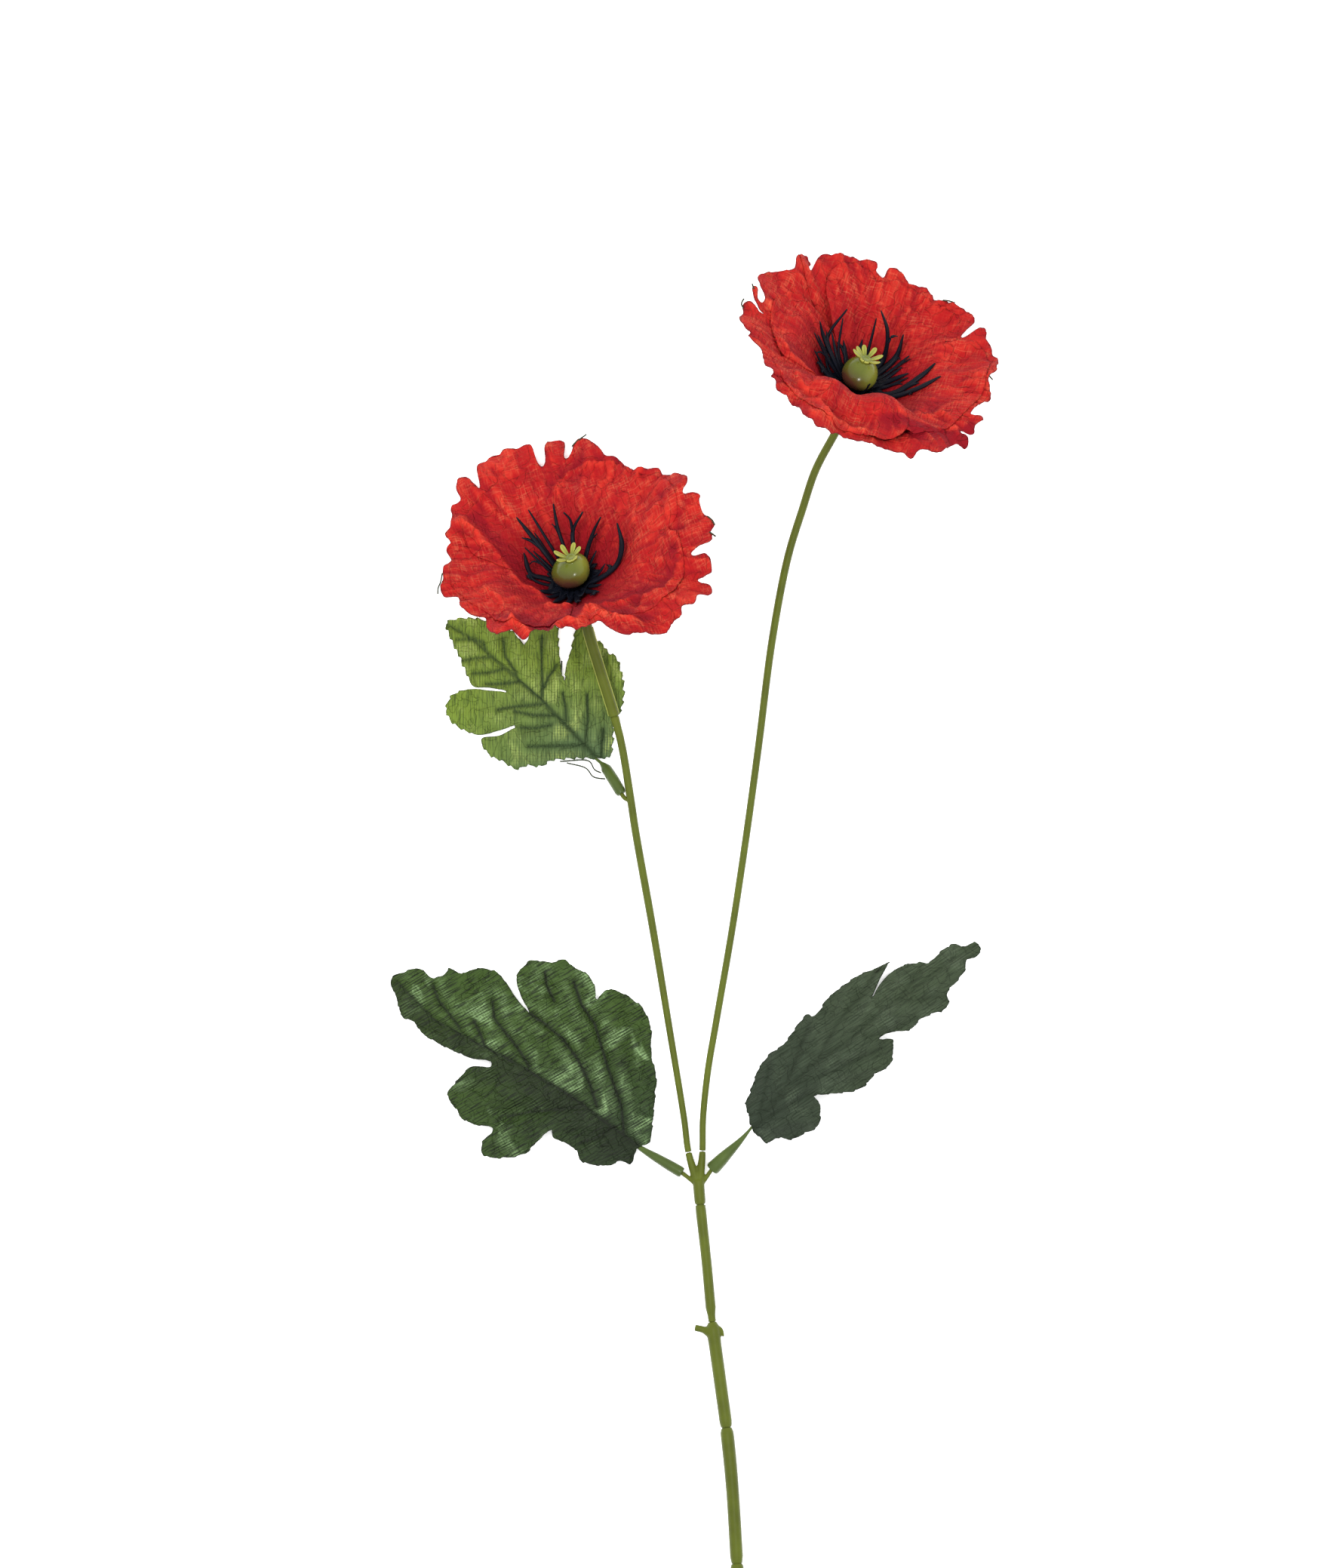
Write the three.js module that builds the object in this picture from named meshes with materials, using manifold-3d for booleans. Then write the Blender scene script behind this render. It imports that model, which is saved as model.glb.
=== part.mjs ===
// A poppy spray of cloth and moulded plastic, lying on a table: two flowers on a forked stem, three leaves.
// Millimetres, +Z up, +Y along the spray towards its flowers, origin on the table under the spray's middle.
import * as THREE from "three";
import { mergeGeometries, mergeVertices } from "three/addons/utils/BufferGeometryUtils.js";
import Module from "manifold-3d";

const wasm = await Module();
wasm.setup();

// Clearances and the middle of the spray in the plan that the places below are given in
const FIT = 0.3;
const PLAN_MIDDLE = [10.1, -64.6];

// Main stem: plan points and axis heights from the cut end to the fork, and the length of each sleeve
const STEM_SIDES = 8;
const STEM_STEP = 14;
const STEM_RADIUS = 2.3;
const STEM_CUT_HEIGHT = STEM_RADIUS * Math.cos(Math.PI / STEM_SIDES);
const STEM_POINTS = [
  [26.8, -312.3, STEM_CUT_HEIGHT],
  [24.6, -268.6, 2.4],
  [22.8, -239.8, 2.6],
  [21.0, -221.9, 2.7],
  [18.9, -206.4, 2.8],
  [16.1, -185.4, 2.9],
  [14.1, -164.4, 3.0],
  [12.0, -145.0, 3.2],
  [11.3, -136.5, 3.3],
];
const SLEEVE_LENGTHS = [43.8, 46.9, 36.8, 40.6];
const CORE_WIRE_RADIUS = 0.65;
const CORE_WIRE_IN_FORK = 5;

// Flower stems: from inside the fork to the last point that shows below the flower
const LEFT_STEM_POINTS = [
  [11.3, -138.5, 3.3],
  [7.9, -126.9, 3.4],
  [6.4, -115.4, 3.5],
  [1.0, -82.2, 3.9],
  [-4.5, -49.1, 4.4],
  [-10.4, -15.9, 5.2],
  [-12.0, -5.2, 5.5],
  [-15.2, 14.0, 6.2],
  [-17.7, 23.7, 6.5],
  [-22.4, 38.7, 6.7],
  [-27.0, 54.1, 7.2],
];
const RIGHT_STEM_POINTS = [
  [11.6, -138.5, 3.3],
  [12.7, -127.1, 3.4],
  [12.9, -115.4, 3.5],
  [14.6, -98.8, 3.5],
  [17.4, -82.2, 3.5],
  [23.1, -49.1, 3.5],
  [28.1, -15.9, 3.5],
  [32.1, 13.5, 3.5],
  [36.8, 49.9, 3.5],
  [42.2, 78.3, 3.5],
  [47.2, 94.7, 3.5],
  [51.7, 108.2, 3.6],
  [57.9, 119.9, 3.9],
];
const FLOWER_STEM = { sides: 6, step: 21, endStep: 5 };
const FORK_STUB_LENGTH = 12;
const FLOWER_WIRE_RADIUS = 0.35;
const FLOWER_WIRE_IN_FORK = 4;
const COLLAR_AT = 164.6;

// Leaf stalks: bent ferrules, each slipped over a peg, with a thin end that runs on under the leaf
const PEG_RADIUS = 0.75;
const SOCKET_DEPTH = 3.2;

// Flower layers, measured from the flower's base along its axis
const HUB_INNER = 2.0;
const HUB_OUTER = 9.0;
const CLOTH = 0.85;
const BOWL_RADIUS = 47;
const BOWL_HEIGHT = 27;
const LAYER_GAP = { hub: 1.2, wall: 2.9 };
const SHINGLE = 0.7;
const WAVE = { start: 12, height: 2.2, count: 13 };
const OUTER_RINGS = [HUB_INNER, HUB_OUTER, 20, 32];
const INNER_RINGS = [HUB_INNER, HUB_OUTER, 20];
const CALYX_LENGTH = 7;
const STEM_IN_CALYX = 4.2;
const PEG_IN_CALYX = 3.2;

// Each flower: its base in the plan, where its face points, how far it leans, and its petals' outline.
// Angles go round the flower's axis, anticlockwise from its right as seen from the front, 90 at the top.
const FLOWERS = [
  {
    side: "left",
    base: [-30.2, 66.0],
    heading: 109,
    lean: 44,
    turn: 6,
    innerTurn: 48,
    droops: [{ angle: 312, reach: 50, depth: 12 }],
    lifts: [
      { angle: 60, reach: 90, height: 3.5 },
      { angle: 190, reach: 60, height: 3 },
    ],
    innerRadius: 34.5,
    podTurn: 10,
    strandTurn: 4,
    rim: [
      [1, 50.2], [11, 49], [22, 44], [34, 39.8], [48.6, 40.7], [57.8, 43.5], [64.5, 46.8], [70, 45.6],
      [72.7, 39.6], [75, 46.7], [82, 46.8], [85.6, 38.3], [89, 48], [96, 49], [103, 50], [111, 50.4],
      [116, 42.2], [119.5, 49.3], [124, 49.4], [128.5, 44.7], [135, 44.8], [142, 42], [149.6, 42.3],
      [153, 39.9], [158.8, 40.7], [164, 39.2], [173, 42], [181, 43.8], [189, 44.4], [193, 40.6],
      [200, 41.7], [208.7, 41.2], [221, 43.5], [228, 44.5], [233, 41.8], [239.7, 45.5], [245, 41.8],
      [255, 40.9], [265.4, 43], [276, 40.3], [282, 49], [290, 50.4], [295.5, 54], [301, 51.4],
      [306, 52.3], [310, 49.4], [313.5, 53], [318, 51.7], [321.5, 55], [324.5, 49.6], [328.5, 54],
      [332.5, 45.3], [338, 53], [345.5, 52.9], [353, 50.6],
    ],
  },
  {
    side: "right",
    base: [64.0, 133.4],
    heading: 70,
    lean: 46,
    turn: 28,
    innerTurn: 72,
    droops: [{ angle: 290, reach: 60, depth: 5 }],
    lifts: [
      { angle: 275, reach: 62, height: 8 },
      { angle: 150, reach: 60, height: 3.5 },
      { angle: 30, reach: 60, height: 3 },
    ],
    innerRadius: 33.5,
    podTurn: 0,
    strandTurn: 17,
    rim: [
      [2, 44], [10, 44.8], [15, 45], [19.5, 43.6], [26, 43.7], [34, 44.3], [37, 36.2], [40, 42.3],
      [49, 42.4], [57, 40.5], [64.3, 37.8], [72, 38.8], [79, 38.2], [86, 39.2], [93, 40], [96.2, 36.2],
      [100.5, 41], [108, 41.2], [114, 42.2], [121, 43], [128, 43], [132.5, 40.2], [136, 44], [138.3, 38],
      [140.5, 44.2], [144.5, 41.3], [152, 41.9], [161, 44.9], [167, 45.9], [170.5, 40.5], [174, 45.5],
      [178, 40.5], [181, 44.5], [184, 38.9], [187, 46.6], [193.7, 47], [200, 43], [204, 44], [209, 40],
      [220.7, 42.2], [226, 40.4], [233, 43], [238, 45.6], [245, 45], [252, 45.6], [260, 47], [267, 45.8],
      [273.4, 46], [281, 43.2], [289, 44.6], [297, 47.3], [301.5, 50], [306, 47.2], [312, 50.2],
      [318, 50], [324.5, 52.8], [327, 46.8], [331.5, 49.5], [335.5, 47.4], [338, 43.4], [341, 48.2],
      [346, 46.2], [353, 45.6],
    ],
  },
];
const LOBES = 4;
const LOBE_HALF = { hub: 44, rim: 52 };

// Seed pod and its crown of rays
const POD = {
  middle: 11,
  radius: 6.3,
  crown: 16.7,
  rays: 9,
  rayRoot: 1.9,
  rayLength: 6.2,
  rayWidth: 2.0,
  rayThickness: 0.9,
  rayRise: 0.6,
};

// Black strands: a ring round the pod's peg with forked strands that lean outwards
const STRANDS = {
  count: 12,
  ringOuter: 5.9,
  ringHeight: 1.4,
  root: 5.1,
  rootHeight: 4.7,
  tip: 19,
  tipHeight: 26,
  width: 1.9,
  thickness: 1.3,
};

// Leaves: base point, height and heading of each midrib, outline as [along the midrib, left of it], and how
// high the midrib arches, how far the halves fall away from it, and the pleats between the side veins
const LEAF_THICKNESS = 0.7;
const LEAVES = [
  {
    name: "upper",
    base: [-22.0, 6.8],
    heading: 137.8,
    rise: [2.15, 1.2, 1.6],
    fall: 0.0,
    pleat: { height: 0.45, pitch: 12, phase: 2, slope: 1.0 },
    cell: 7.5,
    outline: [
      [-0.9, -4], [5.5, -12.5], [10.4, -23], [15.7, -27.9], [21.3, -30.7], [29.7, -30.7], [37.2, -33.2],
      [39, -30.9], [28.9, -12.6], [47.7, -27.5], [51.9, -25], [47.2, -13.1], [59.3, -13.1], [68.5, -6.1],
      [72.3, 0], [50.8, 9.8], [40.7, 3.1], [50.5, 10.8], [53.9, 15.7], [52.1, 22.5], [47.8, 23.9],
      [38.9, 21.5], [33.4, 15.4], [30.8, 9.6], [33.2, 15.7], [37.3, 21], [35.2, 22.8], [30.1, 23.4],
      [20.8, 21.1], [9.6, 5.9], [3.8, 0.8],
    ],
  },
  {
    name: "left",
    base: [-10.1, -124.2],
    heading: 145.8,
    rise: [2.2, 6.0, 2.4],
    fall: 0.055,
    pleat: { height: 0.9, pitch: 17, phase: 3, slope: 0.9 },
    cell: 8,
    outline: [
      [-3.6, -3.6], [7.5, -23.4], [18.8, -36.5], [24.3, -40], [30.4, -40.7], [38.5, -38.4], [39.4, -33.8],
      [42.6, -37.2], [47.4, -39.2], [55.8, -39.1], [65.5, -32.2], [66.8, -28], [66.4, -24.3], [56, -16.9],
      [73.1, -22.1], [79.4, -19.5], [82.8, -15.1], [87.5, -13.8], [87.7, -11.1], [90.5, -8.1],
      [95.8, -8.3], [102, 0.3], [91.5, 8.7], [86.6, 8.2], [82.8, 9.7], [69.9, 8.6], [57.8, 4.5],
      [56.5, 5.9], [62, 9.6], [63.3, 22.5], [55.2, 26.2], [43.7, 23], [44.3, 29.2], [41.6, 32.6],
      [35, 29.3], [29.9, 23.9], [26.9, 12], [25.4, 14], [16.4, 13.1], [12.5, 15.3], [3.9, 11.4],
      [1.5, 7.8], [-2.4, 6.4], [-1.1, 1.6],
    ],
  },
  {
    name: "right",
    base: [29.2, -118.0],
    heading: 37.8,
    rise: [10.2, 18.0, 8.0],
    fall: 0.72,
    pleat: { height: 0.7, pitch: 15, phase: 0, slope: 1.6 },
    cell: 7,
    outline: [
      [3.6, 7.2], [14.4, 13.9], [20.5, 15.6], [25.9, 15.4], [39.5, 18.4], [40.6, 16.6], [47.5, 18.5],
      [62.4, 18.2], [71.9, 15.5], [59.7, 9.1], [70.1, 12.2], [75.6, 11.5], [83.2, 6.9], [94.1, 6.7],
      [96.3, 3.8], [100, 2.9], [100.4, -0.2], [96.7, -1.3], [94.1, -0.1], [91.9, -2.4], [81.9, -5],
      [80.4, -7.8], [77, -9.2], [68.6, -6.6], [64.2, -7.2], [56.5, -3.2], [53.5, -3], [57.2, -6.3],
      [51.4, -12.4], [36.3, -12.3], [23.7, -4.9], [23.9, -7.8], [18.6, -14.1], [8.5, -12.2],
      [4.9, -8.6], [1, -8], [-0.2, -1.8],
    ],
  },
];

// Finishes
function finish(color, roughness, metalness = 0) {
  return new THREE.MeshStandardMaterial({ color, roughness, metalness });
}

const STEM_PLASTIC = finish("#6a7433", 0.5);
const WIRE_STEEL = finish("#8c8c88", 0.35, 1);
const PETAL_CLOTH = finish("#c73530", 0.8);
const STRAND_PLASTIC = finish("#1e222e", 0.45);
const POD_PLASTIC = finish("#787c38", 0.3);
const LEAF_CLOTH = {
  upper: finish("#66793b", 0.6),
  left: finish("#4e6039", 0.5),
  right: finish("#424b3a", 0.7),
};

const radians = THREE.MathUtils.degToRad;
const spray = new THREE.Group();
spray.position.set(-PLAN_MIDDLE[0], -PLAN_MIDDLE[1], 0);

/** A closed three.js geometry as a solid that can be joined and cut. */
function solid(geometry) {
  const bare = geometry.clone();
  bare.deleteAttribute("normal");
  bare.deleteAttribute("uv");
  const merged = mergeVertices(bare, 1e-4);
  return new wasm.Manifold(
    new wasm.Mesh({
      numProp: 3,
      vertProperties: merged.getAttribute("position").array,
      triVerts: new Uint32Array(merged.index.array),
    }),
  );
}

/** The surface of a solid as a three.js geometry. */
function surface(body) {
  const made = body.getMesh();
  const geometry = new THREE.BufferGeometry();
  geometry.setAttribute("position", new THREE.BufferAttribute(new Float32Array(made.vertProperties), 3));
  geometry.setIndex(new THREE.BufferAttribute(new Uint32Array(made.triVerts), 1));
  geometry.computeVertexNormals();
  return geometry;
}

/** Adds a named piece to a group. */
function addPiece(group, name, geometry, material) {
  const piece = new THREE.Mesh(geometry, material);
  piece.name = name;
  group.add(piece);
  return piece;
}

/** Smooth curve through points. */
const curveThrough = (points) => new THREE.CatmullRomCurve3(points.map((p) => new THREE.Vector3(...p)));

/** Distances along a curve at which every piece on it gets a row, closer together towards the end. */
function rowMarks(length, step, endStep = step) {
  const marks = [];
  for (let at = step; at < length - step; at += step) marks.push(at);
  for (let at = length - step; at < length; at += endStep) marks.push(at);
  return marks;
}

/** Stations [distance, radius] with rows added at the marks, so that pieces on one curve bend alike. */
function withRows(stations, marks) {
  const rows = [stations[0]];
  for (const [along, radius] of stations.slice(1)) {
    const [from, fromRadius] = rows[rows.length - 1];
    const [low, high] = [Math.min(from, along), Math.max(from, along)];
    const between = marks.filter((at) => at > low + 0.5 && at < high - 0.5);
    if (along < from) between.reverse();
    const slope = (radius - fromRadius) / (along - from);
    for (const at of between) rows.push([at, fromRadius + slope * (at - from)]);
    rows.push([along, radius]);
  }
  return rows;
}

/**
 * A turned piece bent along a curve. The outer stations go from its start to its end, and those of its bore,
 * if it has one, come back from the end to the start. Without a bore it closes on the axis.
 */
function bentTurning(curve, outer, { bore = [], ...rounding } = {}) {
  const { sides = STEM_SIDES, step = STEM_STEP, endStep = step } = rounding;
  const length = curve.getLength();
  const marks = rowMarks(length, step, endStep);
  const profile = withRows(outer, marks);
  if (bore.length) profile.push(...withRows(bore, marks), profile[0]);
  else {
    profile.unshift([outer[0][0], 0]);
    profile.push([outer[outer.length - 1][0], 0]);
  }
  const points = profile.map(([along, radius]) => new THREE.Vector2(radius, along));
  const geometry = new THREE.LatheGeometry(points, sides, Math.PI / sides);
  const place = geometry.getAttribute("position");
  for (let i = 0; i < place.count; i += 1) {
    const along = THREE.MathUtils.clamp(place.getY(i) / length, 0, 1);
    const tangent = curve.getTangentAt(along);
    const across = new THREE.Vector3().crossVectors(tangent, new THREE.Vector3(0, 0, 1)).normalize();
    const up = new THREE.Vector3().crossVectors(across, tangent);
    const point = curve.getPointAt(along);
    point.addScaledVector(across, place.getX(i)).addScaledVector(up, place.getZ(i));
    place.setXYZ(i, point.x, point.y, point.z);
  }
  return geometry;
}

/**
 * A thin sheet given by its middle surface, as rows of points. Both faces are split into triangles alike and
 * lie half a thickness above and below it along Z. The side walls may leave out the first rows.
 */
function sheet(grid, thickness, sidesFrom = 0) {
  const corners = [];
  const lift = (point, half) => point.clone().setZ(point.z + half);
  const half = thickness / 2;
  const face = (...points) => points.forEach((point) => corners.push(point.x, point.y, point.z));
  const wall = (a, b) => {
    face(lift(a, half), lift(a, -half), lift(b, -half));
    face(lift(a, half), lift(b, -half), lift(b, half));
  };
  const [lastRow, lastColumn] = [grid.length - 1, grid[0].length - 1];
  for (let i = 0; i < lastRow; i += 1)
    for (let j = 0; j < lastColumn; j += 1) {
      const [a, b, c, d] = [grid[i][j], grid[i + 1][j], grid[i + 1][j + 1], grid[i][j + 1]];
      face(lift(a, half), lift(b, half), lift(c, half), lift(a, half), lift(c, half), lift(d, half));
      face(lift(a, -half), lift(c, -half), lift(b, -half), lift(a, -half), lift(d, -half), lift(c, -half));
    }
  for (let i = sidesFrom; i < lastRow; i += 1) {
    wall(grid[i][0], grid[i + 1][0]);
    wall(grid[i + 1][lastColumn], grid[i][lastColumn]);
  }
  for (let j = 0; j < lastColumn; j += 1) {
    wall(grid[lastRow][j], grid[lastRow][j + 1]);
    wall(grid[0][j + 1], grid[0][j]);
  }
  return new THREE.BufferGeometry().setAttribute("position", new THREE.Float32BufferAttribute(corners, 3));
}

/** A point at a radius, an angle in degrees and a height. */
function polar(radius, angle, height) {
  return new THREE.Vector3(radius * Math.cos(radians(angle)), radius * Math.sin(radians(angle)), height);
}

/** A bump that is 1 at its middle angle and 0 at its reach on either side, all in degrees. */
function bump(angle, middle, reach) {
  const away = (((angle - middle + 180) % 360) + 360) % 360;
  const share = Math.min(Math.abs(away - 180) / reach, 1);
  return Math.cos((Math.PI / 2) * share) ** 2;
}

/** Value at an angle of a closed outline given as rising [angle, value] pairs. */
function aroundOutline(outline, angle) {
  const turned = ((angle % 360) + 360) % 360;
  const next = outline.findIndex(([a]) => a > turned);
  const after = next < 0 ? [outline[0][0] + 360, outline[0][1]] : outline[next];
  const last = outline[outline.length - 1];
  const before = next === 0 ? [last[0] - 360, last[1]] : outline[(next < 0 ? outline.length : next) - 1];
  const share = (turned - before[0]) / (after[0] - before[0]);
  return before[1] + (after[1] - before[1]) * share;
}

/** Height of the outer petals' bowl with its droops and its waves, before the lobes lap over each other. */
function bowlHeight(flower, radius, angle) {
  const rise = (from) => {
    const share = THREE.MathUtils.clamp((radius - from) / (BOWL_RADIUS - from), 0, 1);
    return (1 - Math.cos(Math.PI * share)) / 2;
  };
  const droop = flower.droops.reduce((sum, d) => sum + d.depth * bump(angle, d.angle, d.reach), 0);
  const out = Math.max(0, (radius - WAVE.start) / (BOWL_RADIUS - WAVE.start));
  const turn = radians(angle);
  const wave = WAVE.height * out ** 2 * (0.7 * Math.sin(WAVE.count * turn) + 0.4 * Math.sin(7 * turn + 1));
  return BOWL_HEIGHT * rise(0) - droop * rise(HUB_OUTER) + wave;
}

/** Height of the inner petals above the outer ones. */
function innerGap(flower, radius, angle) {
  const wall = THREE.MathUtils.clamp((radius - HUB_INNER) / (HUB_OUTER - HUB_INNER), 0, 1);
  const lift = flower.lifts.reduce((sum, l) => sum + l.height * bump(angle, l.angle, l.reach), 0);
  const share = THREE.MathUtils.clamp((radius - HUB_OUTER) / 25, 0, 1);
  return LAYER_GAP.hub + (LAYER_GAP.wall - LAYER_GAP.hub) * wall + lift * Math.sin(Math.PI * share ** 1.1);
}

/** One die-cut layer of petals: lobes joined round the hole in the middle, with edges that lap. */
function petalLayer({ height, rings, rimRadius, turn, columnAngles }) {
  const grids = [];
  for (let k = 0; k < LOBES; k += 1) {
    const middle = turn + (360 / LOBES) * k;
    const angles = columnAngles(middle - LOBE_HALF.rim, middle + LOBE_HALF.rim);
    const row = (ring) =>
      angles.map((angle) => {
        const radius = ring ?? rimRadius(angle, middle);
        const narrow = radius <= HUB_OUTER ? LOBE_HALF.hub / LOBE_HALF.rim : 1;
        const at = middle + (angle - middle) * narrow;
        const lap = radius > HUB_INNER ? (SHINGLE * (at - middle)) / LOBE_HALF.rim : 0;
        return polar(radius, at, height(radius, at) + lap);
      });
    grids.push([...rings.map(row), row(null)]);
  }
  const faces = grids.flatMap((grid, k) => {
    const next = grids[(k + 1) % LOBES];
    const between = [0, 1].map((i) => [grid[i][grid[i].length - 1], next[i][0]]);
    return [sheet(grid, CLOTH, 1), sheet(between, CLOTH, 1)];
  });
  return surface(solid(mergeGeometries(faces)));
}

/** A ring or a turned body about Z from [radius, height] points; a ring's outline closes on itself. */
function lathe(points, sides) {
  const closed = points[0][0] > 0 ? [...points, points[0]] : points;
  const geometry = new THREE.LatheGeometry(closed.map((p) => new THREE.Vector2(...p)), sides);
  return geometry.rotateX(Math.PI / 2);
}

/** Angles of the outline's points between two angles, with the two ends added. */
function outlineAngles(outline, from, to) {
  const angles = [from];
  for (let round = -1; round <= 1; round += 1)
    for (const [angle] of outline) {
      const turned = angle + 360 * round;
      if (turned > from + 1.5 && turned < to - 1.5) angles.push(turned);
    }
  return [...angles, to];
}

/** Outer petals: the flower's own outline, notches and all. */
function outerPetals(flower) {
  const height = (radius, angle) => bowlHeight(flower, radius, angle);
  const rimRadius = (angle) => aroundOutline(flower.rim, angle);
  const columnAngles = (from, to) => outlineAngles(flower.rim, from, to);
  return petalLayer({ height, rings: OUTER_RINGS, rimRadius, turn: flower.turn, columnAngles });
}

/** Inner petals: shorter lobes with rounded, waved edges. */
function innerPetals(flower) {
  const height = (radius, angle) => bowlHeight(flower, radius, angle) + innerGap(flower, radius, angle);
  const rimRadius = (angle, middle) => {
    const away = Math.abs(angle - middle) / LOBE_HALF.rim;
    return flower.innerRadius * (1 - 0.14 * away ** 4) + 0.8 * Math.sin(radians(angle * 20));
  };
  const columnAngles = (from, to) => Array.from({ length: 13 }, (_, k) => from + ((to - from) * k) / 12);
  const turn = flower.innerTurn;
  return petalLayer({ height, rings: INNER_RINGS, rimRadius, turn, columnAngles });
}

/** Highest that the inner petals' flat middle reaches at a radius, up to its middle surface. */
function hubHeight(flower, radius) {
  const share = (radius - HUB_INNER) / (HUB_OUTER - HUB_INNER);
  const at = (ring) => bowlHeight(flower, ring, 0) + innerGap(flower, ring, 0);
  return at(HUB_INNER) + (at(HUB_OUTER) + SHINGLE - at(HUB_INNER)) * share;
}

/** Pod: a peg, a round body and a crown of rays, moulded in one piece. */
function pod(flower) {
  const { middle, radius, crown, rays, rayRoot, rayLength, rayWidth, rayThickness, rayRise } = POD;
  const peg = HUB_INNER - 0.4;
  const profile = [[0, -PEG_IN_CALYX], [peg, -PEG_IN_CALYX], [peg, middle - radius * 0.97]];
  for (let k = 1; k < 8; k += 1) {
    const turn = -Math.PI / 2 + 0.4 + ((Math.PI - 0.8) * k) / 8;
    profile.push([radius * Math.cos(turn), middle + radius * Math.sin(turn)]);
  }
  profile.push([2.4, crown], [2.2, crown + 1.2], [0, crown + 1.4]);
  const wide = rayLength * 0.7;
  const side = THREE.MathUtils.radToDeg(Math.asin(rayWidth / 2 / wide));
  const rayEnd = [[rayLength, -side / 3], [rayLength, side / 3]];
  const ray = [[rayRoot, -180 / rays], [wide, -side], ...rayEnd, [wide, side]];
  const outline = Array.from({ length: rays }, (_, k) => flower.podTurn + (360 * k) / rays).flatMap((turn) =>
    ray.map(([out, away]) => new THREE.Vector2(...polar(out, turn + away, 0).toArray().slice(0, 2))),
  );
  const shape = new THREE.Shape(outline);
  const star = new THREE.ExtrudeGeometry(shape, { depth: rayThickness, bevelEnabled: false });
  const place = star.getAttribute("position");
  for (let i = 0; i < place.count; i += 1) {
    const out = Math.hypot(place.getX(i), place.getY(i));
    place.setZ(i, place.getZ(i) + crown + (out - rayRoot) * rayRise);
  }
  return surface(solid(lathe(profile, 12)).add(solid(star)));
}

/** Tapered three-sided strand through points; it ends in a fine tip. */
function strand(points, width, thickness) {
  const curve = curveThrough(points);
  const rows = points.length;
  const place = [];
  for (let k = 0; k < rows; k += 1) {
    const share = k / rows;
    const point = curve.getPoint(share);
    const tangent = curve.getTangent(share);
    const across = new THREE.Vector3(-point.y, point.x, 0).normalize();
    const out = new THREE.Vector3().crossVectors(tangent, across);
    const taper = 1 - 0.7 * share;
    for (const [a, b] of [[0.5, -0.35], [0, 0.65], [-0.5, -0.35]]) {
      const corner = point.clone();
      corner.addScaledVector(across, a * width * taper).addScaledVector(out, b * thickness * taper);
      place.push(corner.x, corner.y, corner.z);
    }
  }
  const root = curve.getPoint(0);
  const tip = curve.getPoint(1);
  place.push(root.x, root.y, root.z, tip.x, tip.y, tip.z);
  const [rootAt, tipAt] = [3 * rows, 3 * rows + 1];
  const index = [];
  for (let side = 0; side < 3; side += 1) {
    const next = (side + 1) % 3;
    for (let k = 0; k < rows - 1; k += 1) {
      const [a, b, c, d] = [3 * k + side, 3 * k + next, 3 * k + 3 + next, 3 * k + 3 + side];
      index.push(a, b, c, a, c, d);
    }
    index.push(rootAt, next, side, tipAt, 3 * (rows - 1) + side, 3 * (rows - 1) + next);
  }
  const geometry = new THREE.BufferGeometry();
  geometry.setAttribute("position", new THREE.Float32BufferAttribute(place, 3));
  geometry.setIndex(index);
  return geometry;
}

/** Stamens: a ring round the peg with forked strands that rise and lean outwards. */
function stamens(flower) {
  const { count, ringOuter, ringHeight, root, rootHeight, tip, tipHeight, width, thickness } = STRANDS;
  const floor = (radius) => hubHeight(flower, radius) + CLOTH / 2 + FIT;
  const ring = [
    [HUB_INNER, floor(HUB_INNER)],
    [ringOuter, floor(ringOuter)],
    [ringOuter, floor(ringOuter) + ringHeight],
    [HUB_INNER, floor(HUB_INNER) + ringHeight],
  ];
  const bodies = [solid(lathe(ring, 12))];
  for (let k = 0; k < count; k += 1) {
    const turn = flower.strandTurn + (360 * k) / count;
    const bend = ((k * 7) % 5) * 4 - 8;
    const reach = 1 - 0.05 * ((k * 5) % 4);
    const at = (radius, height, more) => polar(radius, turn + more, height).toArray();
    const trunk = [
      at(root, rootHeight + 0.3, 0),
      at(root + 4.4, rootHeight + 5, bend / 3),
      at(tip * 0.76, tipHeight * 0.6 * reach, bend / 1.5),
      at(tip * reach, tipHeight * reach, bend),
    ];
    const branch = [
      at(root + 3.6, rootHeight + 3.4, bend / 3),
      at(tip * 0.68, tipHeight * 0.5, bend / 2 + 7),
      at(tip * 0.82, tipHeight * 0.72 * reach, bend / 2 + 13),
    ];
    bodies.push(solid(strand(trunk, width, thickness)), solid(strand(branch, width * 0.7, thickness)));
  }
  return surface(wasm.Manifold.union(bodies));
}

/** Calyx: a small cup with a socket for the stem below and one for the pod's peg above. */
function calyx() {
  const [stemSocket, pegSocket] = [2.0, HUB_INNER];
  return lathe(
    [
      [stemSocket, -CALYX_LENGTH],
      [2.7, -CALYX_LENGTH],
      [3.1, -CALYX_LENGTH * 0.6],
      [4.6, -1.6],
      [4.6, -CLOTH / 2 - FIT],
      [pegSocket, -CLOTH / 2 - FIT],
      [pegSocket, -PEG_IN_CALYX - FIT],
      [stemSocket, -PEG_IN_CALYX - FIT],
    ],
    12,
  );
}

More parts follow.
